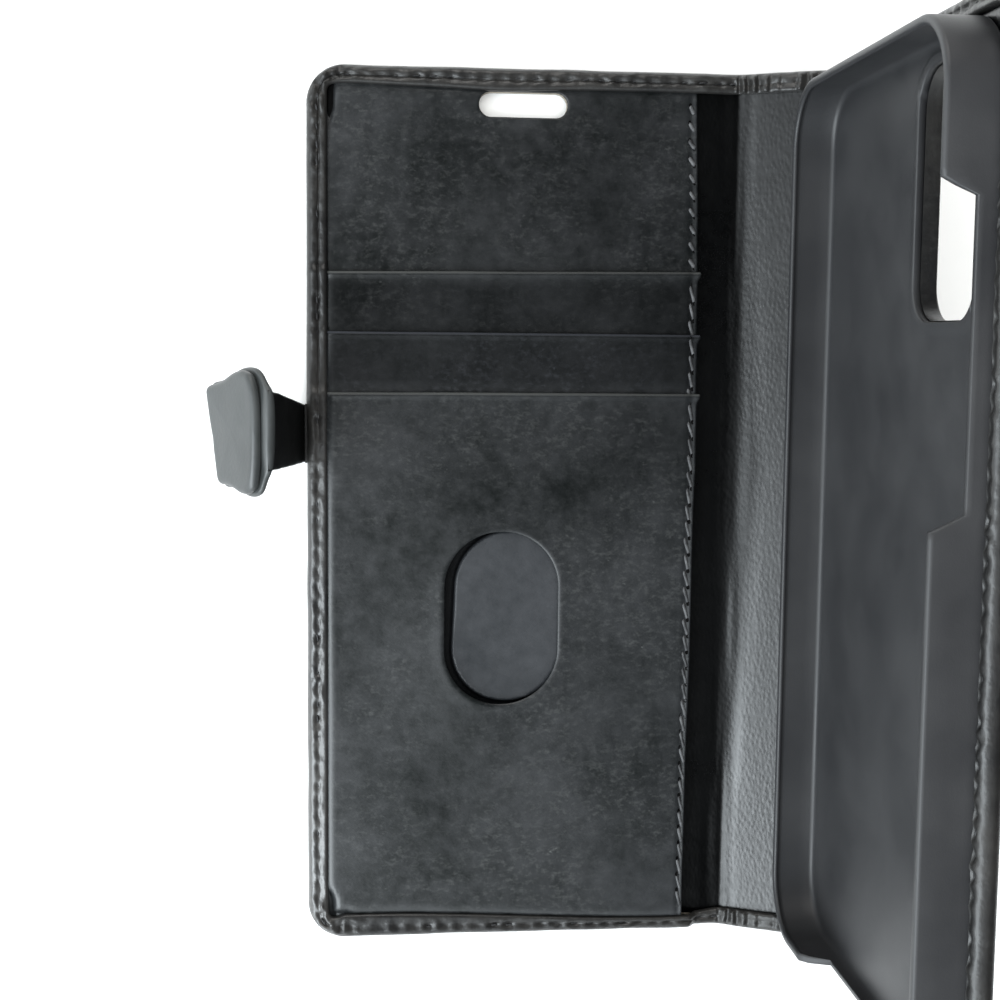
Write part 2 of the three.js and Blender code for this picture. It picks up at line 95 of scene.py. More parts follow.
CORNER_RADIUS = 7.0
HEM_WIDTH = 3.8
HEM_SEAM_INSET = 1.9
STITCH_PITCH = 3.1
UNDER_HEM = 2.6
PANEL_NODES = ["pocket_backing", "card_slot_rear", "card_slot_middle", "card_slot_front"]
SLOT_MOUTHS = [node_box(name)[1][1] for name in PANEL_NODES[1:]]
POCKET_EDGE = node_box("card_slot_front")[1][0]
POCKET_SEAM = POCKET_EDGE - 1.1
POCKET_RAMP = 1.9
PANEL_MARGIN_LEATHER = 0.35
PANEL_STEP = 0.8
PLAIN_HEM_TOP = 3.45
HEM_STEP_X = 33.7
LINING_TOP = node_box("front_lining")[1][2]
LINING_LEATHER = 0.5

EARPIECE_SLOT = {"x": -0.4, "y": 74.4, "half": (8.1, 2.25), "radius": 2.2}
THUMB_HOLE = {"x": -3.85, "y": -19.7, "half": (10.6, 16.2), "radius": 10.4}
CAMERA_WINDOW = {"x": FOLD_2 + 59.0, "y": 54.0, "half": (12.0, 19.0), "radius": 6.0}


# ---- Small mathematics

def ease(value, start, end):
    share = np.clip((value - start) / (end - start), 0, 1)
    return share * share * (3 - 2 * share)


def bell(distance, width):
    return np.exp(-(distance / width) ** 2)


def noise(x, y, seed):
    """Smooth random hills between -1 and 1, about one to a unit."""
    size = 64
    table = np.random.default_rng(seed).uniform(-1, 1, (size, size))
    column, row = np.floor(x).astype(int), np.floor(y).astype(int)
    a, b = x - column, y - row
    a, b = a * a * (3 - 2 * a), b * b * (3 - 2 * b)

    def corner(i, j):
        return table[(column + i) % size, (row + j) % size]

    low = corner(0, 0) * (1 - a) + corner(1, 0) * a
    high = corner(0, 1) * (1 - a) + corner(1, 1) * a
    return low * (1 - b) + high * b


def crease_noise(x, y, seed):
    """Ridges of leather pushed together: 1 on a sharp ridge, down to 0 between ridges."""
    return 1 - np.sqrt(np.abs(noise(x, y, seed)))


def round_edge(distance, radius):
    """0 at a sheet's edge, 1 from radius inwards, along a quarter circle."""
    share = 1 - np.clip(distance / radius, 0, 1)
    return np.sqrt(np.clip(1 - share * share, 0, 1))


def turn(points, pivot_u, pivot_h, angle):
    """Turns points in the plane of u and h, each by its own angle if angle is a list."""
    u, h = points[:, 0] - pivot_u, points[:, 2] - pivot_h
    c, s = np.cos(angle), np.sin(angle)
    return np.stack([pivot_u + u * c - h * s, points[:, 1], pivot_h + u * s + h * c], 1)


def fold_up(points):
    """Takes the flat layout's points (u, y, h) to their place at rest."""
    points = np.asarray(points, float).reshape(-1, 3)
    u = points[:, 0]
    second = ease(u, FOLD_2 - FOLD_HALF, FOLD_2 + FOLD_HALF) * (BACK_TURN - SPINE_TURN)
    first = ease(u, FOLD_1 - FOLD_HALF, FOLD_1 + FOLD_HALF) * SPINE_TURN
    return turn(turn(points, FOLD_2, AXIS_HEIGHT, second), FOLD_1, AXIS_HEIGHT, first)


def on_back(points):
    """Takes the flat layout's points to the back cover as a rigid board."""
    points = np.asarray(points, float).reshape(-1, 3)
    rigid = turn(points, FOLD_2, AXIS_HEIGHT, BACK_TURN - SPINE_TURN)
    return turn(rigid, FOLD_1, AXIS_HEIGHT, SPINE_TURN)


# ---- Meshes

def quads_of(index):
    """The quads between neighbouring rows and columns of a table of point numbers."""
    return np.stack([index[:-1, :-1], index[1:, :-1], index[1:, 1:], index[:-1, 1:]], -1)


class Surface:
    """Points and faces of one piece while it is being made."""

    def __init__(self):
        self.points = np.zeros((0, 3))
        self.faces = []

    def add_points(self, points):
        start = len(self.points)
        points = np.asarray(points, float).reshape(-1, 3)
        self.points = np.vstack([self.points, points])
        return np.arange(start, start + len(points))

    def add_quads(self, index, closed=False):
        """Quads over a table of point numbers; closed joins the last column to the first."""
        if closed:
            index = np.hstack([index, index[:, :1]])
        self.faces += quads_of(index).reshape(-1, 4).tolist()

    def add_tube(self, path, radius, sides=8, flatten=1.0):
        """A closed thread along a path, thinner at its two ends."""
        path = np.asarray(path, float)
        along = np.gradient(path, axis=0)
        along /= np.linalg.norm(along, axis=1)[:, None]
        side = np.cross(along, (0, 0, 1))
        side /= np.linalg.norm(side, axis=1)[:, None]
        up = np.cross(side, along)
        share = np.linspace(-1, 1, len(path))
        size = radius * np.sqrt(np.clip(1.04 - share ** 6, 0.04, 1))
        angle = np.arange(sides) * 2 * math.pi / sides
        ring = np.cos(angle)[None, :, None] * side[:, None] + flatten * np.sin(angle)[None, :, None] * up[:, None]
        points = path[:, None] + ring * size[:, None, None]
        index = self.add_points(points.reshape(-1, 3)).reshape(len(path), sides)
        self.add_quads(index, closed=True)
        self.faces.append(index[0].tolist())
        self.faces.append(index[-1][::-1].tolist())


def make_piece(name, surface, material, weld=False):
    mesh = bpy.data.meshes.new(name)
    mesh.from_pydata((surface.points * MM).tolist(), [], surface.faces)
    work = bmesh.new()
    work.from_mesh(mesh)
    if weld:
        bmesh.ops.remove_doubles(work, verts=work.verts, dist=2e-6)
        bmesh.ops.dissolve_degenerate(work, edges=work.edges, dist=1e-6)
    bmesh.ops.recalc_face_normals(work, faces=work.faces)
    work.to_mesh(mesh)
    work.free()
    mesh.polygons.foreach_set("use_smooth", [True] * len(mesh.polygons))
    mesh.materials.append(material)
    piece = bpy.data.objects.new(name, mesh)
    bpy.context.scene.collection.objects.link(piece)
    return piece


def blend_at_fold(piece, fold_u):
    start, end = fold_up([[fold_u - FOLD_HALF, 0, AXIS_HEIGHT], [fold_u + FOLD_HALF, 0, AXIS_HEIGHT]])
    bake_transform(piece)


def blend_front(piece):
    blend_at_fold(piece, FOLD_1)


def blend_back(piece):
    blend_at_fold(piece, FOLD_2)


# ---- Flat sheets with a rounded hole

def quarter_outline(share, half, radius):
    """Points and outward directions on a rounded box's first quarter, from the +x side to the +y side."""
    a, b = half
    straight_1, arc, straight_2 = b - radius, radius * math.pi / 2, a - radius
    along = share * (straight_1 + arc + straight_2)
    angle = np.clip((along - straight_1) / radius, 0, math.pi / 2)
    x = a - radius + radius * np.cos(angle) - np.clip(along - straight_1 - arc, 0, None)
    y = np.clip(along, 0, straight_1) + radius * np.sin(angle)
    return np.stack([x, y], -1), np.stack([np.cos(angle), np.sin(angle)], -1)


def distance_to_hole(x, y, hole):
    """Distance outside a rounded hole's edge."""
    a, b = hole["half"]
    dx = np.abs(x - hole["x"]) - (a - hole["radius"])
    dy = np.abs(y - hole["y"]) - (b - hole["radius"])
    outside = np.hypot(np.clip(dx, 0, None), np.clip(dy, 0, None))
    return outside + np.minimum(np.maximum(dx, dy), 0) - hole["radius"]


def grow(hole, by):
    a, b = hole["half"]
    return {**hole, "half": (a + by, b + by), "radius": hole["radius"] + by}


def cut_grid(grid, hole=None, rim=(1.6, 1.0, 0.6, 0.3, 0.12, 0.0), margin=2.2):
    """Flat points and quads of a grid; with a hole, rings of points run up to its edge."""
    columns, rows, _ = grid.shape
    index = np.arange(columns * rows).reshape(columns, rows)
    points = grid.reshape(-1, 2)
    quads = quads_of(index)
    if hole is None:
        return points, quads.reshape(-1, 4), None
    x, y = grid[:, rows // 2, 0], grid[columns // 2, :, 1]
    a, b = hole["half"]
    c0 = max(np.searchsorted(x, hole["x"] - a - margin) - 1, 0)
    c1 = min(np.searchsorted(x, hole["x"] + a + margin), columns - 1)
    r0 = max(np.searchsorted(y, hole["y"] - b - margin) - 1, 0)
    r1 = min(np.searchsorted(y, hole["y"] + b + margin), rows - 1)
    space = min(hole["x"] - a - x[c0], x[c1] - hole["x"] - a, hole["y"] - b - y[r0], y[r1] - hole["y"] - b)
    rim = np.array(rim) * min(1, 0.75 * space / rim[0])
    keep = np.ones(quads.shape[:2], bool)
    keep[c0:c1, r0:r1] = False
    loop = np.concatenate([index[c0:c1, r0], index[c1, r0:r1], index[c1:c0:-1, r1], index[c0, r1:r0:-1]])
    block = points[loop]
    offset = block - (hole["x"], hole["y"])
    reach = np.where(offset > 0, points[index[c1, r1]] - (hole["x"], hole["y"]),
                     (hole["x"], hole["y"]) - points[index[c0, r0]])
    unit = np.abs(offset) / reach
    total = reach.sum(1)
    share = np.where(unit[:, 0] >= unit[:, 1] - 1e-9, unit[:, 1] * reach[:, 1],
                     reach[:, 1] + (1 - unit[:, 0]) * reach[:, 0]) / total
    edge, outward = quarter_outline(share, hole["half"], hole["radius"])
    sign = np.where(offset >= 0, 1, -1)
    edge, outward = edge * sign + (hole["x"], hole["y"]), outward * sign
    first = edge + outward * rim[0]
    rings = [block + (first - block) * part for part in (0.34, 0.67)]
    rings += [edge + outward * step for step in rim]
    start = len(points)
    table = [loop] + [start + np.arange(len(loop)) + k * len(loop) for k in range(len(rings))]
    table = np.hstack([np.array(table), np.array(table)[:, :1]])
    ring_quads = np.stack([table[:-1, :-1], table[:-1, 1:], table[1:, 1:], table[1:, :-1]], -1)
    faces = np.vstack([quads[keep], ring_quads.reshape(-1, 4)])
    return np.vstack([points, *rings]), faces, table[-1, :-1]


def boundary_edges(faces):
    edges = np.concatenate([faces[:, [k, (k + 1) % 4]] for k in range(4)])
    key = np.sort(edges, 1)
    _, first, count = np.unique(key, axis=0, return_index=True, return_counts=True)
    return edges[first[count == 1]]


def thick_sheet(points, faces, top, bottom, open_at=None):
    """A sheet from flat points and quads, with its faces at top and bottom and no wall where x is open_at."""
    sheet = Surface()
    above = sheet.add_points(np.column_stack([points, top]))
    below = sheet.add_points(np.column_stack([points, bottom]))
    sheet.faces += above[faces].tolist()
    sheet.faces += below[faces[:, ::-1]].tolist()
    edges = boundary_edges(faces)
    if open_at is not None:
        edges = edges[np.abs(points[edges, 0] - open_at).max(1) > 1e-6]
    walls = np.column_stack([above[edges[:, 1]], above[edges[:, 0]], below[edges[:, 0]], below[edges[:, 1]]])
    sheet.faces += walls.tolist()
    return sheet


def stations(start, end, step, fine=()):
    """Evenly spaced values from start to end, with closer ones at the given distances from each end."""
    count = max(2, round((end - start - 2 * (fine[-1] if fine else 0)) / step) + 1)
    inner = (start + fine[-1], end - fine[-1]) if fine else (start, end)
    values = list(np.linspace(*inner, count))
    values += [start + f for f in fine[:-1]] + [end - f for f in fine[:-1]]
    return np.array(sorted(values + ([start, end] if fine else [])))


# ---- Materials. Their measures are in metres, because the coordinates of their patterns are.

# Pale colours mixed in for dust specks, scuffs and the painted highlight on the mouths' lips.
PALE_DUST_AND_HIGHLIGHT = (0.06, 0.064, 0.063, 1)
BLUISH_DUST_AND_HIGHLIGHT = (0.055, 0.061, 0.074, 1)
# Middles, in millimetres, of the painted shade over the slots and of the painted valley shadow.
SLOT_SHADE_MIDDLE = 33
VALLEY_SHADOW_MIDDLE = 9


def new_material(name, roughness=None):
    """A material, its node tree, its shader and the coordinates that its patterns use."""
    material = bpy.data.materials.new(name)
    material.use_nodes = True
    tree = material.node_tree
    shader = tree.nodes["Principled BSDF"]
    if roughness is not None:
        shader.inputs["Roughness"].default_value = roughness
    return material, tree, shader, add_node(tree, "ShaderNodeTexCoord").outputs["Object"]


def add_node(tree, kind, settings=None, **inputs):
    made = tree.nodes.new(kind)
    for key, value in (settings or {}).items():
        setattr(made, key, value)
    for key, value in inputs.items():
        socket = made.inputs[key.replace("_", " ")]
        if isinstance(value, bpy.types.NodeSocket):
            tree.links.new(value, socket)
        else:
            socket.default_value = value
    return made


def voronoi(tree, coordinates, scale):
    return add_node(tree, "ShaderNodeTexVoronoi", {"feature": "SMOOTH_F1"}, Vector=coordinates, Scale=scale)


def ramp(tree, value, stops):
    """A colour ramp: stops are (position, colour)."""
    made = add_node(tree, "ShaderNodeValToRGB", Fac=value)
    elements = made.color_ramp.elements
    while len(elements) < len(stops):
        elements.new(0.5)
    for element, (position, colour) in zip(elements, stops):
        element.position = position
        element.color = (*colour, 1)
    return made.outputs["Color"]


def map_range(tree, value, low, high, to_low, to_high):
    made = add_node(tree, "ShaderNodeMapRange", Value=value)
    for key, number in (("From Min", low), ("From Max", high), ("To Min", to_low), ("To Max", to_high)):
        made.inputs[key].default_value = number
    return made.outputs["Result"]


def maths(tree, operation, a, b):
    made = tree.nodes.new("ShaderNodeMath")
    made.operation = operation
    for socket, value in zip(made.inputs, (a, b)):
        if isinstance(value, bpy.types.NodeSocket):
            tree.links.new(value, socket)
        else:
            socket.default_value = value
    return made.outputs["Value"]


def noise_node(tree, coordinates, scale, detail=3.0, roughness=0.5):
    return add_node(
        tree, "ShaderNodeTexNoise", Vector=coordinates, Scale=scale, Detail=detail, Roughness=roughness,
    ).outputs["Fac"]


def stretched(tree, coordinates, scale):
    made = add_node(tree, "ShaderNodeMapping", Vector=coordinates)
    made.inputs["Scale"].default_value = scale
    return made.outputs["Vector"]


def bump(tree, shader, height, strength, distance):
    made = add_node(tree, "ShaderNodeBump", Height=height, Strength=strength, Distance=distance)
    tree.links.new(made.outputs["Normal"], shader.inputs["Normal"])


def two_tone(tree, shader, value, dark, light, span=(0.3, 0.7)):
    """Colours the shader from dark to light over the value's span."""
    tree.links.new(ramp(tree, value, [(span[0], dark), (span[1], light)]), shader.inputs["Base Color"])


def axes(tree, place):
    """The X, Y and Z of the coordinates."""
    return add_node(tree, "ShaderNodeSeparateXYZ", Vector=place).outputs


def product(tree, *factors):
    made = factors[0]
    for factor in factors[1:]:
        made = maths(tree, "MULTIPLY", made, factor)
    return made


def distance_along(tree, value, middle):
    return maths(tree, "ABSOLUTE", maths(tree, "SUBTRACT", value, middle), 0)


def specks(tree, coordinates, scale, low, high):
    """Dust: irregular spots, a little longer across than upwards, where a fine noise is high."""
    fine = noise_node(tree, stretched(tree, coordinates, (scale, scale * 1.5, scale)), 1, 3, 0.72)
    return map_range(tree, fine, low, high, 0, 1)


def painted_sheen_and_shade(tree, place):
    """Share of colour and shine kept: painted sheen near the clasp and bottom, painted shade at the slots."""
    at = axes(tree, place)
    slots = distance_along(tree, at["Y"], SLOT_SHADE_MIDDLE * MM)
    beside = map_range(tree, slots, 0.0105, 0.04, 0, 0.2)
    slots = maths(tree, "ADD", map_range(tree, slots, 0.0085, 0.0105, 0.5, 0.8), beside)
    upwards = map_range(tree, at["Y"], -0.07, 0.09, 1.22, 0.8)
    sideways = map_range(tree, at["X"], -0.035, 0.03, 1.06, 0.78)
    return product(tree, slots, product(tree, upwards, sideways))


def painted_valley_shadow(tree, place):
    """Share of the lining's colour and shine: painted shadow in the valley, widest at the fold's middle."""
    at = axes(tree, place)
    from_middle = distance_along(tree, at["Y"], VALLEY_SHADOW_MIDDLE * MM)
    shadow_border = map_range(tree, from_middle, 0.0, 0.07, FOLD_1 * MM + 0.0054, FOLD_1 * MM + 0.001)
    return map_range(tree, maths(tree, "SUBTRACT", at["X"], shadow_border), -0.0014, 0.0008, 0.42, 1)


def painted_hem_highlight(tree, place):
    """Share of the outer leather's colour and shine: a painted highlight low along the clasp edge."""
    at = axes(tree, place)
    at_clasp_edge = map_range(tree, at["X"], -0.0355, -0.0335, 1, 0)
    highlight_fade = map_range(tree, at["Y"], -0.06, 0.045, 0.95, -0.2)
    return maths(tree, "ADD", product(tree, at_clasp_edge, highlight_fade), 0.85)


def leather(
    name, dark, light, roughness, grain,
    pebble=0.0, wear=0.4, dust=0.5, shine=0.45, share=None, edge=None, hollow=None,
):
    """Black leather: cloudy colour, fine grain, creases, and a little dust and scuffing.

    share gives the part of the colour and shine that each place keeps, as painted light and shade.
    edge is the line of a mouth, whose lip gets a pale painted highlight. hollow is the height of a
    panel that gets painted shade where it dips, and that is mixed towards its pale colour below y = 12 mm.
    """
    material, tree, shader, place = new_material(name)
    at = axes(tree, place)
    clouds = noise_node(tree, place, 34, 5, 0.62)
    mottle = noise_node(tree, place, 330, 4, 0.65)
    patches = maths(tree, "ADD", product(tree, clouds, 0.65), product(tree, mottle, 0.35))
    colour = ramp(tree, patches, [(0.36, dark), (0.66, light)])

    scratch = noise_node(tree, stretched(tree, place, (900, 60, 900)), 1, 2, 0.5)
    scuff = product(tree, map_range(tree, scratch, 0.68, 0.78, 0, 1), clouds)
    haze = product(tree, specks(tree, place, 800, 0.5, 0.78), 0.5)
    dust_wear_and_highlight = maths(tree, "MAXIMUM", haze, specks(tree, place, 430, 0.68, 0.8))
    clumps = map_range(tree, noise_node(tree, place, 50, 4, 0.65), 0.4, 0.62, 0.15, 1)
    dust_wear_and_highlight = product(tree, dust_wear_and_highlight, product(tree, clumps, dust))
    dust_wear_and_highlight = maths(tree, "MAXIMUM", dust_wear_and_highlight, product(tree, scuff, wear * 0.25))
    # Painted highlight: the lip above the mouth's line takes the pale colour.
    if edge:
        line = maths(tree, "ADD", product(tree, at["X"], edge[1]), edge[0] * MM)
        inside = maths(tree, "SUBTRACT", at["Y"], line)
        dust_wear_and_highlight = maths(tree, "MAXIMUM", dust_wear_and_highlight, map_range(tree, inside, -0.0005, -0.0002, 0, 1))
    # Up to y = 12 mm, and most below y = 0, where it shows through the thumb hole, the middle panel is mixed
    # towards its pale bluish colour.
    if hollow:
        dust_wear_and_highlight = maths(tree, "MAXIMUM", dust_wear_and_highlight, map_range(tree, at["Y"], 0.0, 0.012, 0.16, 0))
    mix = add_node(tree, "ShaderNodeMixRGB", Fac=dust_wear_and_highlight, Color1=colour)
    mix.inputs["Color2"].default_value = BLUISH_DUST_AND_HIGHLIGHT if hollow else PALE_DUST_AND_HIGHLIGHT

    strength = share(tree, place) if share else 1
    # Painted shade: colour and shine fall to a fifth where the panel dips 0.3 to 0.75 mm below its top.
    if hollow:
        sunk = map_range(tree, at["Z"], (hollow - 0.75) * MM, (hollow - 0.3) * MM, 0.2, 1)
        strength = product(tree, strength, sunk)
    # Painted light and shade: the colour is multiplied by the share, and so is the shine below.
    if strength != 1:
        shade = add_node(tree, "ShaderNodeMixRGB", {"blend_type": "MULTIPLY"}, Fac=1.0, Color1=mix.outputs["Color"])
        tree.links.new(strength, shade.inputs["Color2"])
        mix = shade
    tree.links.new(mix.outputs["Color"], shader.inputs["Base Color"])
    gloss = map_range(tree, patches, 0.36, 0.66, roughness - 0.06, roughness + 0.08)
    tree.links.new(maths(tree, "ADD", gloss, product(tree, dust_wear_and_highlight, 0.3)), shader.inputs["Roughness"])
    tree.links.new(product(tree, shine, strength), shader.inputs["Specular IOR Level"])

    fine = noise_node(tree, place, 2600, 3, 0.6)
    pores = voronoi(tree, place, 1700)
    height = maths(tree, "ADD", product(tree, fine, 0.4), product(tree, pores.outputs["Distance"], 0.5))
    if pebble:
        slanted = add_node(tree, "ShaderNodeMapping", Vector=place)
        slanted.inputs["Rotation"].default_value = (0.0, 0.0, 0.65)
        slanted.inputs["Scale"].default_value = (1.35, 0.75, 1.0)
        cells = voronoi(tree, slanted.outputs["Vector"], 1250)
        cells.inputs["Smoothness"].default_value = 0.6
        stones = map_range(tree, cells.outputs["Distance"], 0.0, 0.7, 1, 0)
        height = maths(tree, "ADD", product(tree, height, 0.25), product(tree, stones, pebble))
    wrinkles = noise_node(tree, place, 170, 5, 0.6)
    bump(tree, shader, maths(tree, "ADD", height, product(tree, wrinkles, 1.5)), grain, 0.00012)
    return material


def thread_material(name, dark, light):
    material, tree, shader, place = new_material(name, 0.6)
    two_tone(tree, shader, noise_node(tree, place, 420, 3, 0.6), dark, light, (0.38, 0.62))
    plies = noise_node(tree, stretched(tree, place, (1, 0.4, 1)), 5200, 2)
    bump(tree, shader, plies, 0.6, 0.0001)
    return material


def plastic_material():
    material, tree, shader, place = new_material("moulded_tray")
    tone = noise_node(tree, place, 60, 4)
    two_tone(tree, shader, tone, (0.014, 0.0145, 0.016), (0.022, 0.0225, 0.024))
    tree.links.new(map_range(tree, tone, 0.3, 0.7, 0.42, 0.56), shader.inputs["Roughness"])
    bump(tree, shader, noise_node(tree, place, 3600, 2, 0.7), 0.35, 0.00006)
    return material


def board_material():
    material, tree, shader, place = new_material("pressed_board", 0.9)
    fibres = noise_node(tree, stretched(tree, place, (500, 2600, 2600)), 1, 3, 0.6)
    two_tone(tree, shader, fibres, (0.2, 0.175, 0.14), (0.33, 0.3, 0.25))
    bump(tree, shader, fibres, 0.4, 0.0001)
    return material


def magnet_material():
    material, tree, shader, place = new_material("nickel_plate")
    lines = noise_node(tree, stretched(tree, place, (300, 6000, 6000)), 1, 3)
    two_tone(tree, shader, lines, (0.5, 0.5, 0.48), (0.66, 0.65, 0.62))
    tree.links.new(map_range(tree, lines, 0.3, 0.7, 0.25, 0.42), shader.inputs["Roughness"])
    shader.inputs["Metallic"].default_value = 1.0
    return material


# Near-black and without shine: painted shade in the needle holes.
def needle_hole_shade_material():
    material, tree, shader, place = new_material("needle_hole", 1.0)
    two_tone(tree, shader, noise_node(tree, place, 2000, 1), (0.002,) * 3, (0.006,) * 3)
    shader.inputs["Specular IOR Level"].default_value = 0.0
    return material


# share gives the outer leather a painted highlight on its lower clasp edge, and the lining painted shadow in its
# valley.
OUTER = leather(
    "cover_leather", (0.0085, 0.0085, 0.0088), (0.023, 0.022, 0.0205), 0.38, 0.5,
    wear=0.7, shine=0.6, share=painted_hem_highlight,
)
POCKET_TONES = (0.0026, 0.0036, 0.0036), (0.018, 0.0195, 0.0215), 0.4, 0.2
LINING = leather(
    "pebbled_lining", (0.0008, 0.0009, 0.001), (0.0018, 0.002, 0.0022), 0.3, 0.18,
    pebble=1.1, wear=0.0, dust=0.0, shine=0.72, share=painted_valley_shadow,
)
# Lit and shaded copies of the strap's leather: the tab is painted pale as a painted highlight, the neck painted
# near-black as painted shade.
TAB_LEATHER_PAINTED_LIT = leather(
    "tab_leather", (0.024, 0.027, 0.0275), (0.04, 0.044, 0.0445), 0.4, 0.3, dust=0.1, shine=0.58,
)
NECK_LEATHER_PAINTED_SHADE = leather(
    "neck_leather", (0.0012, 0.0013, 0.0014), (0.003, 0.0032, 0.0034), 0.5, 0.3, dust=0.1, shine=0.3,
)
SEAM_THREAD = thread_material("seam_thread", (0.018, 0.0185, 0.02), (0.068, 0.07, 0.073))
HEM_THREAD = thread_material("hem_thread", (0.006, 0.006, 0.0065), (0.015, 0.015, 0.016))
TRAY_PLASTIC = plastic_material()
BOARD = board_material()
NICKEL = magnet_material()
NEEDLE_HOLE_SHADE = needle_hole_shade_material()


# ---- Cover leather: outer face, rounded edge, turned hem

def front_hem_top(u, y):
    """The hem rises over each slot panel that it holds, and is low beyond the pockets."""
    step = 0.4
    rise = PLAIN_HEM_TOP + 0.35
    for mouth in SLOT_MOUTHS:
        rise = rise + step * ease(y, mouth + 1.3, mouth - 0.2)
        rise = rise + 0.14 * bell(y - mouth + 0.3, 0.7)
    return PLAIN_HEM_TOP + (rise - PLAIN_HEM_TOP) * ease(u, HEM_STEP_X + 1.2, HEM_STEP_X - 0.6)


def back_hem_top(u, y):
    return np.full_like(u, PLAIN_HEM_TOP)


# Rings of the leather from the outer face round the edge and over the hem, as (inset, height). The
# heights of the second list are counted from the hem's top.
FACE_RINGS = [
    (3.8, 0.0), (3.2, 0.0), (2.6, 0.0), (2.2, 0.1), (1.9, 0.18), (1.6, 0.1), (1.3, 0.0), (0.95, 0.06),
    (0.6, 0.24), (0.3, 0.55), (0.1, 0.95), (0.0, 1.35),
]
HEM_RINGS = [
    (0.0, -1.85), (0.06, -1.4), (0.2, -0.95), (0.42, -0.55), (0.72, -0.25), (1.05, -0.08), (1.4, 0.0),
    (1.6, 0.0), (1.78, 0.0), (1.93, 0.0), (2.05, 0.0), (2.15, 0.0), (2.25, 0.0), (2.38, 0.06), (2.6, 0.12),
    (2.85, 0.2), (3.1, 0.25), (3.3, 0.25), (3.48, 0.16), (3.64, -0.02), (3.75, -0.28), (3.8, -0.6),
    (3.72, -0.86), (3.3, -0.88), (2.9, -0.88),
]
STATION_STEP = 0.5
PLEAT_STEP = 0.22
PLEAT_PITCH = 2.15
ARC_STEPS = 22


def hem_extra(x, side):
    """How much wider than usual the front cover's hem is at x, on its top (1) or bottom (-1) side."""
    if side > 0:
        return 0.5 * bell(x + 4, 9) - 0.3 * bell(x + 32, 8)
    return 1.0 * ease(x, -38, -32) - 2.0 * ease(x, -27, 28) + 0.95 * ease(x, 31, 42)


def square_corner(count):
    """Evenly spaced points of a nearly square corner in the box from (-1, 0) to (0, 1)."""
    angle = np.linspace(0, math.pi / 2, 400)
    power = 2 / 5.5
    x, y = -np.cos(angle) ** power, np.sin(angle) ** power
    along = np.concatenate([[0], np.cumsum(np.hypot(np.diff(x), np.diff(y)))])
    at = np.linspace(0, along[-1], count)
    return np.interp(at, along, x), np.interp(at, along, y)


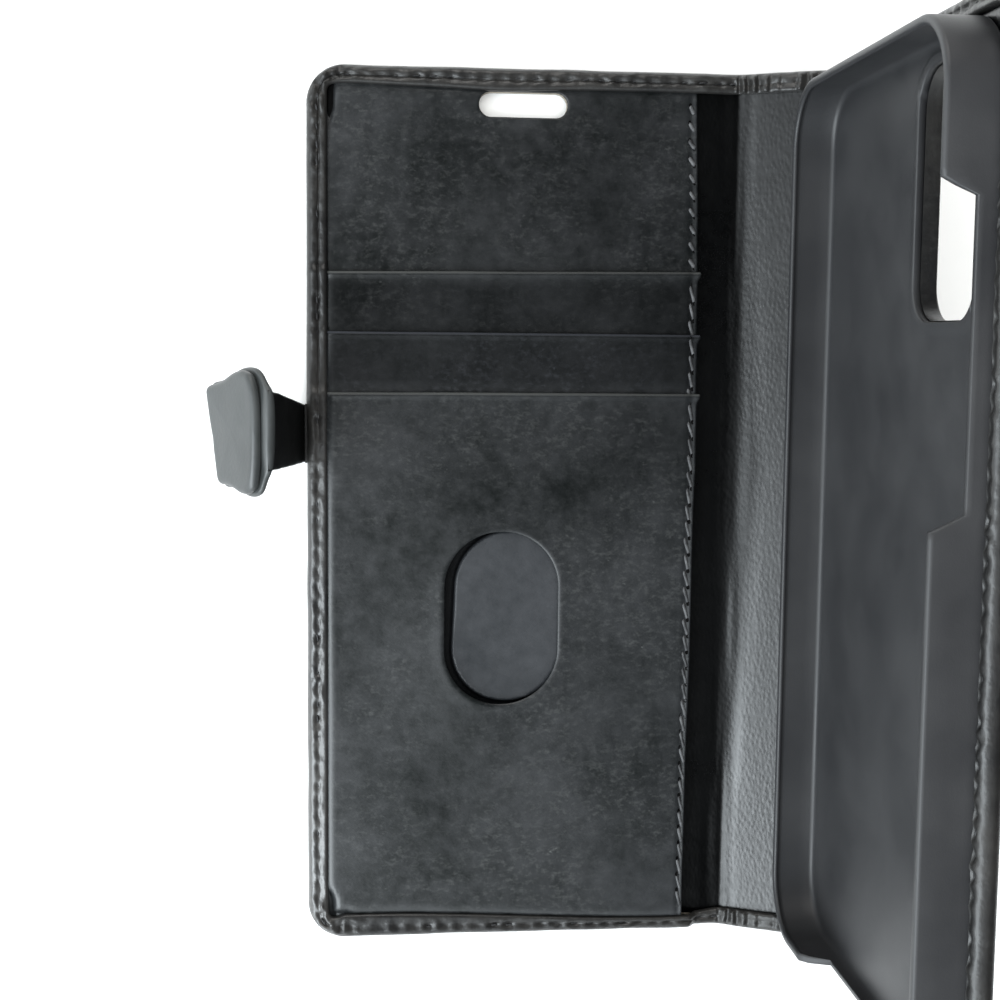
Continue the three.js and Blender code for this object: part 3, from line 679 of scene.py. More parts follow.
class CoverHalf:
    """One half of the cover's leather, from its free edge to the middle of the spine."""

    def __init__(self, free_edge, direction, hem_top, seed, hole, hole_wall):
        self.free_edge, self.direction, self.hem_top, self.seed = free_edge, direction, hem_top, seed
        self.hole, self.hole_wall = hole, hole_wall
        self.width = abs(MID_SPINE - free_edge)
        radius = CORNER_RADIUS - HEM_WIDTH
        angle = np.linspace(0, math.pi / 2, ARC_STEPS + 1)
        arc_x = HEM_WIDTH + radius * (1 - np.cos(angle))
        arc_y = HALF_HEIGHT - CORNER_RADIUS + radius * np.sin(angle)
        pleats = self.width - 11
        straight = np.concatenate([
            stations(CORNER_RADIUS, pleats, STATION_STEP)[1:], stations(pleats, self.width, PLEAT_STEP)[1:],
        ])
        self.x = np.concatenate([arc_x, straight])
        self.top = np.concatenate([arc_y, np.full(len(straight), HALF_HEIGHT - HEM_WIDTH)])
        rows = round(2 * (HALF_HEIGHT - CORNER_RADIUS) / STATION_STEP)
        self.shares = np.linspace(0, 1, rows + 1)
        square_x, square_y = square_corner(ARC_STEPS + 1)
        square_x = CORNER_RADIUS + square_x * radius
        square_y = HALF_HEIGHT - CORNER_RADIUS + square_y * radius
        left_y = (self.shares[1:-1] * 2 - 1) * (HALF_HEIGHT - CORNER_RADIUS)
        top_chain = np.column_stack([self.x, self.top])
        outward = np.column_stack([
            np.concatenate([-np.cos(angle), np.zeros(len(straight))]),
            np.concatenate([np.sin(angle), np.ones(len(straight))]),
        ])
        square = np.column_stack([
            np.concatenate([square_x, straight]),
            np.concatenate([square_y, np.full(len(straight), HALF_HEIGHT - HEM_WIDTH)]),
        ])
        left = np.column_stack([np.full(len(left_y), HEM_WIDTH), left_y])
        left_out = np.tile([-1.0, 0.0], (len(left_y), 1))
        flip = np.array([1, -1])
        self.inner = np.vstack([top_chain[::-1], left[::-1], top_chain * flip])
        self.outward = np.vstack([outward[::-1], left_out, outward * flip])
        self.square = np.vstack([square[::-1], left[::-1], square * flip])
        self.outer = self.inner + self.outward * HEM_WIDTH
        self.extra = np.zeros(len(self.inner))
        if direction > 0:
            x, vertical = free_edge + self.inner[:, 0], self.outward[:, 1]
            self.extra = np.where(vertical > 0, hem_extra(x, 1), hem_extra(x, -1)) * vertical ** 2
        gaps = np.linalg.norm(np.diff(self.outer, axis=0), axis=1)
        self.along = np.concatenate([[0], np.cumsum(gaps)])
        self.along -= self.along[-1] / 2

    def to_layout(self, plan, height):
        """Points given from this half's free edge as layout points."""
        return np.column_stack([self.free_edge + self.direction * plan[:, 0], plan[:, 1], height])

    def pleat_share(self, plan):
        """1 where the hem is gathered at the fold, fading out at the middle of the spine."""
        u = self.free_edge + self.direction * plan[:, 0]
        fold = FOLD_1 if self.direction > 0 else FOLD_2
        beyond = (u - fold) * self.direction
        return ease(beyond, -0.6, 0.6) * ease(beyond, 9.4, 7.6)

    def corner_share(self, plan):
        dx = plan[:, 0] - CORNER_RADIUS * 0.5
        dy = np.abs(plan[:, 1]) - (HALF_HEIGHT - CORNER_RADIUS * 0.5)
        return bell(np.hypot(dx, dy), 6.5)

    def calm(self, plan):
        """0 at the middle of the spine, where the two halves meet, and 1 away from it."""
        return ease(self.width - plan[:, 0], 0.0, 2.0)

    def hem_relief(self, plan, along, inset):
        """Height that crumpling, stitches and pleats add to the hem."""
        corner, pleated = self.corner_share(plan), self.pleat_share(plan)
        seed = self.seed
        band = ease(inset, 0.1, 0.5) * ease(inset, 3.3, 2.6)
        lumps = 0.1 * noise(along / 0.6, inset / 0.5 + 9, seed) + 0.22 * noise(along / 1.2, inset / 0.9, seed + 1)
        folds = 0.55 * (crease_noise(along / 1.9, inset / 2.0, seed + 2) - 0.45)
        patchy = 0.85 + 0.6 * noise(along / 6, inset * 0, seed + 8)
        crumple = band * (lumps * (0.75 * patchy + 1.4 * corner) + folds * (0.35 * patchy + 1.3 * corner))
        middle = np.abs((along / STITCH_PITCH + 0.12 * noise(along / 2.5, inset * 0, seed + 9)) % 1.0 - 0.5)
        middle = middle * STITCH_PITCH
        seam = -bell(inset - HEM_SEAM_INSET, 0.48) * (0.08 + 0.34 * patchy * bell(middle, 0.8))
        seam += 0.16 * bell(inset - HEM_SEAM_INSET, 0.75) * bell(middle - STITCH_PITCH / 2, 0.5)
        wave = plan[:, 0] / PLEAT_PITCH + 0.14 * noise(along / 3, inset / 3, seed + 3)
        phase = wave % 1.0
        ridge = np.where(phase < 0.68, ease(phase, 0, 0.68), ease(phase, 1.0, 0.68))
        tall = 0.8 + 0.5 * noise(along / 2.2, inset * 0, seed + 4)
        pleats = 0.8 * (ridge - 0.5) * tall * ease(inset, 0.1, 0.9) * ease(inset, 3.8, 3.4)
        crack = -0.3 * bell(inset - 2.15 - 0.12 * noise(along / 1.9, inset * 0, seed + 6), 0.13)
        crack = crack * ease(-along, 10, 30) if self.direction > 0 else 0
        relief = (crumple + seam * (1 - 0.6 * corner) + crack) * (1 - 0.75 * pleated) + pleats * pleated
        return relief * self.calm(plan)

    def shell(self):
        made = Surface()
        grid_x = np.repeat(self.x[:, None], len(self.shares), 1)
        grid_y = (self.shares[None, :] * 2 - 1) * self.top[:, None]
        rim = (3.0, 2.3, 2.0, 1.7, 1.2, 0.8, 0.45, 0.2, 0.05, 0.0)
        flat, faces, edge = cut_grid(np.stack([grid_x, grid_y], -1), self.local_hole(), rim, margin=3.6)
        distance = distance_to_hole(flat[:, 0], flat[:, 1], self.local_hole())
        turned = 0.42 * (1 - round_edge(distance, 0.55))
        groove = 0.1 * bell(distance - 2.0, 0.3)
        index = made.add_points(self.to_layout(flat, turned + groove))
        made.faces += index[faces].tolist()
        wall = [index[edge]]
        for height in self.hole_wall:
            wall.append(made.add_points(self.to_layout(flat[edge], np.full(len(edge), height))))
        made.add_quads(np.array(wall), closed=True)
        columns, rows = grid_x.shape
        table = np.arange(columns * rows).reshape(columns, rows)
        ring = np.concatenate([table[::-1, -1], table[0, -2:0:-1], table[:, 0]])
        rings = [index[ring]]
        u = self.free_edge + self.direction * self.outer[:, 0]
        top = self.hem_top(u, self.outer[:, 1])
        wave = 0.1 * noise(self.along / 7, self.along * 0 + 3.3, self.seed + 5) * self.calm(self.outer)
        for inset, height in FACE_RINGS[1:]:
            edge_wave = wave * ease(inset, 1.2, 0.2)
            plan = self.inner + self.outward * (HEM_WIDTH - inset + edge_wave)[:, None]
            rings.append(made.add_points(self.to_layout(plan, np.full(len(plan), height))))
        for inset, height in HEM_RINGS:
            share = inset * (1 + self.extra * ease(inset, 1, 3) / HEM_WIDTH) / HEM_WIDTH
            plan = self.outer + (self.square - self.outer) * share[:, None]
            plan = plan + self.outward * (wave * (1 - np.clip(share, 0, 1)))[:, None]
            relief = self.hem_relief(plan, self.along, np.full(len(plan), inset))
            level = np.clip(1 + (height + 0.2) / 1.4, 0, 1)
            lift = top + height + relief * level
            rings.append(made.add_points(self.to_layout(plan, lift)))
        made.add_quads(np.array(rings))
        made.points = fold_up(made.points)
        return made

    def local_hole(self):
        x = abs(self.hole["x"] - self.free_edge)
        return {**self.hole, "x": x}

    def stitch_points(self, along, inset, height):
        """Layout points over the seam, from the distance along it, the inset and the height over the hem."""
        outer = np.column_stack([np.interp(along, self.along, self.outer[:, k]) for k in (0, 1)])
        square = np.column_stack([np.interp(along, self.along, self.square[:, k]) for k in (0, 1)])
        plan = outer + (square - outer) * (inset / HEM_WIDTH)[:, None]
        top = self.hem_top(self.free_edge + self.direction * outer[:, 0], outer[:, 1])
        relief = self.hem_relief(plan, along, np.full(len(plan), HEM_SEAM_INSET + 0.9))
        return self.to_layout(plan, top + height + relief)

    def stitches(self):
        made = Surface()
        wobble = np.random.default_rng(self.seed + 7)
        last = int(self.along[-1] / STITCH_PITCH)
        for number in range(-last, last):
            start = number * STITCH_PITCH
            share = np.linspace(0, 1, 9)
            arch = 1 - (2 * share - 1) ** 4
            along = start + 0.6 + share * (STITCH_PITCH - 1.2)
            slant = (share - 0.5) * (0.25 + 0.15 * wobble.uniform(-1, 1))
            sunk = -0.75 + 0.3 * arch + 0.04 * wobble.uniform(-1, 1)
            made.add_tube(self.stitch_points(along, HEM_SEAM_INSET + slant, sunk), 0.2, flatten=0.8)
            along = start + 0.3 + share * (STITCH_PITCH - 0.6)
            under = self.stitch_points(along, HEM_SEAM_INSET + slant, 0 * share)
            under[:, 2] = 0.34 - 0.14 * arch
            made.add_tube(under, 0.24, sides=6, flatten=0.8)
        made.points = fold_up(made.points)
        return made


front_half = CoverHalf(FREE_EDGE, 1, front_hem_top, 11, grow(EARPIECE_SLOT, 0.12), (1.2, 2.0, 2.5))
back_half = CoverHalf(BACK_EDGE, -1, back_hem_top, 31, grow(CAMERA_WINDOW, -0.2), (1.2, 2.0, 2.8))

front_shell = make_piece("front_leather_shell", front_half.shell(), OUTER)
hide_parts("front_cover_leather")
blend_front(front_shell)
back_shell = make_piece("back_leather_shell", back_half.shell(), OUTER)
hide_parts("back_cover_leather", "spine_leather")
blend_back(back_shell)
blend_front(make_piece("front_hem_stitches", front_half.stitches(), HEM_THREAD))
blend_back(make_piece("back_hem_stitches", back_half.stitches(), HEM_THREAD))


# ---- Pebbled lining

def lining_relief(u, y):
    """Long soft creases beside each fold, none at the middle of the spine."""
    relief = np.zeros_like(u)
    for fold, side, seed in ((FOLD_1, 1, 51), (FOLD_2, -1, 52)):
        beyond = (u - fold) * side
        relief += 0.16 * ease(np.abs(beyond), 5.5, 1.0) * noise(u / 1.6, y / 21, seed)
        relief -= 0.22 * bell(beyond - 3.2, 2.4) * bell(y - 8, 44)
        relief -= 0.26 * bell(beyond - 0.4, 0.6) * ease(np.abs(y), 30, 60)
    return relief * ease(np.abs(u - MID_SPINE), 0.3, 2.5)


def lining_sheet(u_start, u_end, hole):
    """The lining between two places of the layout, with closer points beside its fold."""
    change, steps = (FOLD_1 - 9, (1.6, 0.45)) if u_start < FOLD_1 else (FOLD_2 + 9, (0.45, 1.6))
    u = np.concatenate([stations(u_start, change, steps[0])[:-1], stations(change, u_end, steps[1])])
    y = stations(-HALF_HEIGHT + UNDER_HEM, HALF_HEIGHT - UNDER_HEM, 1.2)
    grid = np.stack(np.meshgrid(u, y, indexing="ij"), -1)
    points, faces, _ = cut_grid(grid, hole)
    relief = lining_relief(points[:, 0], points[:, 1])
    sheet = thick_sheet(points, faces, LINING_TOP + relief, LINING_TOP - LINING_LEATHER + relief * 0.5, MID_SPINE)
    sheet.points = fold_up(sheet.points)
    return sheet


front_lining = make_piece(
    "front_lining_leather", lining_sheet(FREE_EDGE + UNDER_HEM, MID_SPINE, grow(EARPIECE_SLOT, 0.3)),
    LINING,
)
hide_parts("front_lining")
blend_front(front_lining)
back_lining = make_piece(
    "back_lining_leather", lining_sheet(MID_SPINE, BACK_EDGE - UNDER_HEM, grow(CAMERA_WINDOW, 0.3)),
    LINING,
)
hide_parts("back_lining", "spine_lining")
blend_back(back_lining)


# ---- Card pockets

HEM_INNER_X = FREE_EDGE + HEM_WIDTH
HEM_INNER_Y = HALF_HEIGHT - HEM_WIDTH

# Closer points of the slot panels where they dip round the thumb hole of the front one.
DIP_X = np.arange(-16.5, 2.0, 0.3)
DIP_Y = np.arange(-38.5, 0.0, 0.4)


def edge_bow(y):
    """How far the pockets' free edge stands out from a straight line."""
    return 0.52 * bell(y - 30, 45) - 0.42 * ease(y, 52, 76) - 0.26 * ease(-y, 20, 76)


def seam_x(y):
    """The seam before the free edge's bow is added."""
    return POCKET_SEAM + 0.05 + 0.3 * ease(-y, 0, 76)


class Pocket:
    """One leather panel. It is thin and low under the hem, and stands at its own height inside it."""

    def __init__(self, node, tilt, hole):
        low, high = node_box(node)
        thin = node in ("card_slot_rear", "card_slot_middle")
        self.is_backing = node == "pocket_backing"
        self.mouth = HALF_HEIGHT - UNDER_HEM if self.is_backing else high[1]
        self.margin = np.array([low[2], low[2] + PANEL_MARGIN_LEATHER])
        self.body = np.array([high[2] - (0.6 if thin else 0.7), high[2]])
        self.tilt, self.hole = tilt, hole
        self.left, self.bottom = FREE_EDGE + UNDER_HEM, -HALF_HEIGHT + UNDER_HEM

    def lift(self, x, y):
        """0 under the hem and 1 inside it. The panels shrink from the hem at its two corners."""
        top, bottom = HEM_INNER_Y - y, HEM_INNER_Y + y
        ragged = 1 + 0.5 * noise(x / 1.3, y / 1.6, 65)
        gap = 0.75 * ease(top, 9, 1) * ragged + 1.3 * ease(bottom, 7, 1.5) * ragged
        low_gap = 0.7 * ease(x - HEM_INNER_X, 6, 1) * ragged + hem_extra(x, -1)
        share = round_edge(x - HEM_INNER_X + 0.45 - gap, POCKET_RAMP)
        share = np.minimum(share, round_edge(bottom + 0.1 - low_gap, POCKET_RAMP))
        if self.is_backing:
            top_gap = 0.5 * ease(x - HEM_INNER_X, 9, 3) * ragged + hem_extra(x, 1)
            share = np.minimum(share, round_edge(top + 0.1 - top_gap, POCKET_RAMP))
        return np.clip(share, 0, 1)

    def shape(self, x, y):
        """Hills and hollows that every panel of the stack shares, and this panel's own bow."""
        inside = self.lift(x, y)
        shared = 0.15 * noise(x / 17 + 3, y / 19, 61) + 0.05 * noise(x / 5, y / 5.5, 62)
        seam = -0.26 * bell(x - seam_x(y), 0.5)
        edge = 0.08 * bell(x - POCKET_EDGE, 0.6)
        bow = 0
        if not self.is_backing:
            span = np.clip((x - HEM_INNER_X) / (POCKET_SEAM - HEM_INNER_X), 0, 1)
            bow = 0.32 * bell(self.mouth - y, 3.5) * np.sin(math.pi * span) ** 0.7
            bow = bow + 0.28 * bell(self.mouth - y - 0.5, 0.45)
        if self.hole is THUMB_HOLE:
            near = distance_to_hole(x, y, self.hole)
            swell = 0.3 + 0.45 * ease(THUMB_HOLE["x"] - x, -5, 9)
            halo = 0.26 * bell(near, 2.0) + swell * bell(np.clip(near, 0, None), 11)
        else:
            beside = distance_to_hole(x - 1.7 - 0.045 * (y - THUMB_HOLE["y"]), y - 0.3, THUMB_HOLE)
            halo = -1.3 * ease(beside, -0.3, 0.4) * ease(beside, 6, 3)
        top, bottom = HEM_INNER_Y - y, HEM_INNER_Y + y
        torn = ease(top, 8.5, 3) + ease(bottom, 7, 3.5)
        dip = 1.2 * torn * bell(x - HEM_INNER_X - 0.1 - 0.45 * torn, 0.25 + 0.35 * torn)
        return (shared + bow + halo + seam + edge) * inside - dip

    def warp(self, x, y):
        """Moves flat points so that the free edge bows and the mouth slopes a little."""
        waver = (edge_bow(y) + 0.1 * noise(y / 9, y * 0 + self.mouth, 63)) * ease(x, POCKET_EDGE - 6, POCKET_EDGE)
        ear = 0
        if not self.is_backing:
            ear = 0.6 * bell(self.mouth - 0.5 - y, 0.9) * ease(x, POCKET_EDGE - 1.6, POCKET_EDGE)
        slope = (x - self.left) / (POCKET_EDGE - self.left)
        rise = (self.tilt[0] + (self.tilt[1] - self.tilt[0]) * slope) + 0.07 * noise(x / 13, x * 0 + self.mouth, 64)
        return x + waver + ear, y + rise * ease(y, self.mouth - 16, self.mouth)

    def mouth_line(self):
        """Height of the mouth at x = 0, and how much it rises per unit of x."""
        rise = (self.tilt[1] - self.tilt[0]) / (POCKET_EDGE - self.left)
        return self.mouth + self.tilt[0] - rise * self.left, rise

    def heights(self, x, y):
        """The panel's upper and lower face, which meet in a round edge."""
        edge = np.minimum(np.minimum(x - self.left, POCKET_EDGE - x), np.minimum(y - self.bottom, self.mouth - y))
        if self.hole:
            edge = np.minimum(edge, distance_to_hole(x, y, self.hole))
        edge_radius = np.where(self.mouth - y < 1.8, 0.8, 0.45)
        if self.hole is THUMB_HOLE:
            edge_radius = np.where(distance_to_hole(x, y, self.hole) < 1.5, 0.8, edge_radius)
        lift = self.lift(x, y)
        low = self.margin[0] + (self.body[0] - self.margin[0]) * lift
        high = self.margin[1] + (self.body[1] - self.margin[1]) * lift
        shape = self.shape(x, y)
        half = (high - low) / 2 * round_edge(edge, edge_radius)
        middle = (high + low) / 2 + shape
        return middle + half, middle - half

    def top_at(self, x, y):
        return self.heights(x, y)[0]

    def build(self):
        fine = (0.04, 0.12, 0.25, 0.45, 0.8, 1.2, 1.6, 2.0, 2.4, 2.8)
        x = stations(self.left, POCKET_EDGE, PANEL_STEP, fine)
        y = stations(self.bottom, self.mouth, PANEL_STEP, fine)
        if self.hole is None:
            x = np.unique(np.concatenate([x, DIP_X]).round(3))
            y = np.unique(np.concatenate([y, DIP_Y]).round(3))
        grid = np.stack(np.meshgrid(x, y, indexing="ij"), -1)
        points, faces, _ = cut_grid(grid, self.hole, rim=(2.2, 1.6, 1.1, 0.75, 0.5, 0.32, 0.18, 0.08, 0.02, 0.0))
        top, bottom = self.heights(points[:, 0], points[:, 1])
        warped = np.column_stack(self.warp(points[:, 0], points[:, 1]))
        return thick_sheet(warped, faces, top, bottom)


POCKETS = [
    Pocket("pocket_backing", (0.0, 0.0), EARPIECE_SLOT),
    Pocket("card_slot_rear", (-0.33, 0.4), None),
    Pocket("card_slot_middle", (-0.05, -0.1), None),
    Pocket("card_slot_front", (0.03, 0.1), THUMB_HOLE),
]
for node, pocket in zip(PANEL_NODES, POCKETS):
    # Each panel's leather gets painted sheen and shade from the share, a painted highlight on its mouth's lip, and
    # on the middle panel painted shade where it dips.
    painted_light_leather = leather(
        f"{node}_finish", *POCKET_TONES, dust=0.8, shine=0.54, share=painted_sheen_and_shade,
        edge=pocket.mouth_line(), hollow=pocket.body[1] if node == "card_slot_middle" else None,
    )
    panel = make_piece(f"{node}_leather", pocket.build(), painted_light_leather, weld=True)
    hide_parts(node)
    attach(panel, "front_cover")


def top_pocket(y):
    """The panel that lies on top at y."""
    for pocket in reversed(POCKETS):
        if y < pocket.mouth - 0.1:
            return pocket
    return POCKETS[0]


def pocket_seam():
    """Slanted stitches along the pockets' free edge, and dark discs of painted shade for their needle holes."""
    thread, holes = Surface(), Surface()
    wobble = np.random.default_rng(71)
    start = -HEM_INNER_Y + 1.2
    count = int((2 * HEM_INNER_Y - 2) / STITCH_PITCH)
    for number in range(count):
        share = np.linspace(0, 1, 13)
        sunk = ease(start + number * STITCH_PITCH, 38, 46)
        y = start + (number - 0.04 + 0.22 * sunk + share * (1.08 - 0.56 * sunk)) * STITCH_PITCH
        lean = 0.36 + 0.07 * wobble.uniform(-1, 1)
        x = seam_x(y) - lean * np.sin((share - 0.5) * math.pi) + 0.06 * wobble.uniform(-1, 1)
        pocket = top_pocket(float(y.max()))
        level = pocket.top_at(x, y)
        wx, wy = pocket.warp(x, y)
        arch = 1 - (2 * share - 1) ** 4
        path = np.column_stack([wx, wy, level - 0.34 + 0.36 * arch])
        thread.add_tube(path, 0.31 + 0.07 * sunk + 0.04 * wobble.uniform(-1, 1), flatten=0.8)
        for end in (0, -1):
            turn_angle = np.arange(10) * 2 * math.pi / 10
            centre = np.array([wx[end], wy[end]])
            ring = centre + np.column_stack([0.3 * np.cos(turn_angle), 0.42 * np.sin(turn_angle)])
            height = pocket.top_at(ring[:, 0], ring[:, 1]) + 0.02
            index = holes.add_points(np.column_stack([ring, height]))
            middle = holes.add_points([[*centre, pocket.top_at(centre[:1], centre[1:])[0] - 0.06]])
            holes.faces += [[index[k], index[(k + 1) % 10], middle[0]] for k in range(10)]
    return thread, holes


seam_surface, hole_surface = pocket_seam()
seam_piece = make_piece("pocket_seam_stitches", seam_surface, SEAM_THREAD)
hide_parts("pocket_seam_thread")
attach(seam_piece, "front_cover")
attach(make_piece("pocket_needle_holes", hole_surface, NEEDLE_HOLE_SHADE), "front_cover")


# ---- Clasp strap, in its own frame: s along the strap, y across, h towards the lining

ROOT_X, STRAP_Y, ROOT_Z = joint_place("clasp_fold")
TIP_X, TIP_Y, TIP_Z = joint_place("clasp_tab_fold")
NECK_TURN = math.atan2(TIP_Z - ROOT_Z, ROOT_X - TIP_X)
NECK_LENGTH = math.hypot(TIP_Z - ROOT_Z, ROOT_X - TIP_X)
NECK_LEAN = (TIP_Y - STRAP_Y) / NECK_LENGTH
NECK_WIDTHS = (10.9, 13.8)
NECK_THICK = 0.82
TAB_CAP = 1.02
TAB_TURN = math.radians(-52)
TAB_LENGTH = 15.9
TAB_LEAN = -0.09
TAB_FAN = 0.0133
PAD_TOP = 2.3
ROOT_BEND_HALF = 1.7


def neck_place(points):
    """Strap points (s, y, h) of the neck, which bends up where it leaves the cover."""
    angle = ease(points[:, 0], -ROOT_BEND_HALF, ROOT_BEND_HALF) * NECK_TURN
    turned = turn(points, 0, 0, angle)
    return np.column_stack([ROOT_X - turned[:, 0], STRAP_Y + turned[:, 1], ROOT_Z + turned[:, 2]])


def tab_place(points):
    """Strap points (s, y, h) of the tab, which is bent back where it meets the neck."""
    turned = turn(points, 0, 0, TAB_TURN)
    return np.column_stack([TIP_X - turned[:, 0], TIP_Y + turned[:, 1], TIP_Z + turned[:, 2]])


def rounded_slab(outline, low, high, edge_radius, rings=14, crown=0.0):
    """A closed slab over an outline of (s, y) points; low and high give its faces' heights."""
    outline = np.asarray(outline, float)
    ahead, behind = np.roll(outline, -1, 0), np.roll(outline, 1, 0)
    along = ahead - behind
    along /= np.linalg.norm(along, axis=1)[:, None]
    inward = np.column_stack([-along[:, 1], along[:, 0]])
    centre = outline.mean(0)
    inward *= np.sign(((centre - outline) * inward).sum(1).mean())
    radius = edge_radius(outline) if callable(edge_radius) else np.full(len(outline), edge_radius)
    steps = np.sin(np.linspace(0, math.pi / 2, 7))[1:]
    flat, share = [outline], [np.zeros(len(outline))]
    for step in 1 - np.cos(np.linspace(0, math.pi / 2, 7))[1:]:
        flat.append(outline + inward * (radius * step)[:, None])
    share += [np.full(len(outline), value) for value in steps]
    last = flat[-1]
    for part in np.linspace(0, 1, rings + 1)[1:-1]:
        flat.append(last + (centre - last) * part)
        share.append(np.ones(len(outline)))
    made = Surface()
    above, below = [], []
    for number, (plan, value) in enumerate(zip(flat, share)):
        top, bottom = high(plan[:, 0], plan[:, 1]), low(plan[:, 0], plan[:, 1])
        dome = crown * ease(number, 4, len(flat))
        middle, half = (top + bottom) / 2, (top - bottom) / 2 * value
        above.append(made.add_points(np.column_stack([plan, middle + half + dome])))
        if number:
            below.append(made.add_points(np.column_stack([plan, middle - half])))
        else:
            below.append(above[0])
    for side, sign in ((above, 1), (below, -1)):
        table = np.array(side)
        made.add_quads(table if sign > 0 else table[:, ::-1], closed=True)
        tip = made.add_points([made.points[table[-1]].mean(0)])[0]
        ring = table[-1]
        made.faces += [[ring[k], ring[(k + 1) % len(ring)], tip][::sign] for k in range(len(ring))]
    return made


def sampled(points, step):
    """Evenly spaced points along a closed polyline."""
    points = np.vstack([points, points[:1]])
    along = np.concatenate([[0], np.cumsum(np.linalg.norm(np.diff(points, axis=0), axis=1))])
    at = np.arange(0, along[-1], along[-1] / round(along[-1] / step))
    return np.column_stack([np.interp(at, along, points[:, k]) for k in (0, 1)])


def bezier(a, b, c, d, count=14):
    """Points of a cubic curve from a towards d, without d."""
    t = np.linspace(0, 1, count, endpoint=False)[:, None]
    a, b, c, d = (np.array(p, float) for p in (a, b, c, d))
    return a * (1 - t) ** 3 + 3 * b * t * (1 - t) ** 2 + 3 * c * t * t * (1 - t) + d * t ** 3


def neck_strip():
    """The neck as a grid of s and y with rounded edges and a round end at the tab's fold."""
    s = np.concatenate([
        stations(-2.6, NECK_LENGTH - 1.5, 0.3)[:-1],
        stations(NECK_LENGTH - 1.5, NECK_LENGTH + NECK_THICK, 0.3, (0.01, 0.04, 0.1, 0.2, 0.35, 0.6)),
    ])
    across = stations(-1, 1, 0.05, (0.004, 0.012, 0.03, 0.06))
    grid = np.stack(np.meshgrid(s, across, indexing="ij"), -1)
    points, faces, _ = cut_grid(grid)
    s, v = points[:, 0], points[:, 1]
    width = np.interp(s, [0, NECK_LENGTH], NECK_WIDTHS) / 2
    width = width - 0.35 * ease(s, 0.5, -2.0) + 0.06 * noise(s / 2.5, s * 0, 81)
    y = v * width + NECK_LEAN * np.clip(s, 0, None)
    edge = (1 - np.abs(v)) * width
    thick = NECK_THICK * (1 - 0.3 * ease(s, 1.0, -2.0))
    wave = 0.1 * noise(s / 4, y / 5, 82) * ease(s, 1.5, 5) * ease(s, NECK_LENGTH, NECK_LENGTH - 4)
    thick = thick * (1 - 0.4 * v ** 4 * ease(s, NECK_LENGTH - 6, NECK_LENGTH))
    half = thick * np.minimum(round_edge(edge, 0.5), round_edge(NECK_LENGTH + thick - s, thick))
    strip = thick_sheet(np.column_stack([s, y]), faces, wave + half, wave - half)
    strip.points = neck_place(strip.points)
    return strip


def tab_point(along, across):
    return (along * (1 + TAB_FAN * across), across + TAB_LEAN * along)


def half_tab(sign, inset=0.0):
    """The places of one half of the tab, drawn in from its edge by inset."""
    def at(along, across):
        return tab_point(along, sign * (across - inset))
    return at


def tab_side(sign, inset):
    """One side of the tab from its shoulder: a round lobe, drawn in to a square end."""
    at = half_tab(sign, inset)
    end, end_half, corner = TAB_LENGTH - inset, 9.3, 1.7
    square = end_half - inset - corner
    return np.vstack([
        bezier(at(3.3, 10.75), at(4.5, 11.35), at(6.8, 11.5), at(9.0, 10.45)),
        bezier(at(9.0, 10.45), at(11.0, 9.6), at(12.5, 9.4), at(end - corner, end_half)),
        bezier(at(end - corner, end_half), at(end - 0.6, end_half), at(end, end_half - 0.6),
               at(end, end_half - corner)),
        [tab_point(end, sign * square)],
    ])


def closed_outline(root_side):
    """Outline from the points of one root side (given for both signs) and the tab's two sides."""
    def both(sign):
        root, rest = root_side(sign)
        return np.vstack([root, rest])
    return sampled(np.vstack([both(1), both(-1)[::-1]]), 0.35)


def tab_base():
    """Outer leather of the tab, with a round root end that turns in the neck's fold."""
    def root_side(sign):
        at = half_tab(sign)
        root = np.vstack([
            bezier(at(-TAB_CAP, 0), at(-TAB_CAP, 3.0), at(-0.95, 5.0), at(-0.6, 6.6), 12),
            bezier(at(-0.6, 6.6), at(-0.3, 7.3), at(0.9, 8.3), at(1.7, 9.2)),
            bezier(at(1.7, 9.2), at(2.2, 9.85), at(2.7, 10.4), at(3.3, 10.75)),
        ])
        return root, tab_side(sign, 0)

    def cap(y):
        return TAB_CAP * (1 - 0.42 * np.clip(np.abs(y) / 7, 0, 1) ** 2.5)

    def radius(outline):
        return np.where(outline[:, 0] < -0.2, cap(outline[:, 1]), 0.45)

    def high(s, y):
        return cap(y) - (cap(y) - 0.25) * ease(s, 0.4, 2.6) + 0.04 * noise(s / 3, y / 3, 91)

    def low(s, y):
        return -cap(y) + (cap(y) - 0.86) * ease(s, 0.4, 2.6) + 0.03 * noise(s / 4, y / 4, 92)

    slab = rounded_slab(closed_outline(root_side), low, high, radius)
    slab.points = tab_place(slab.points)
    return slab


def tab_pad():
    """The padded lining side that holds the magnets, with a bulging edge towards the neck."""
    def root_side(sign):
        at = half_tab(sign)
        root = np.vstack([
            bezier(at(1.35, 0.0), at(1.35, 3.0), at(1.6, 5.5), at(2.1, 7.4)),
            bezier(at(2.1, 7.4), at(2.6, 9.2), at(3.0, 10.0), at(4.1, 10.3), 10),
        ])
        return root, tab_side(sign, 0.55)[5:]

    def high(s, y):
        hollow = -0.16 * bell(y - TAB_LEAN * s + 0.4, 1.8) * ease(s, 3, 7)
        return PAD_TOP - 0.2 + 0.1 * noise(s / 5, y / 6, 93) + hollow

    def low(s, y):
        return 0.1 + 0 * s

    slab = rounded_slab(closed_outline(root_side), low, high, 1.15, crown=0.2)
    slab.points = tab_place(slab.points)
    return slab
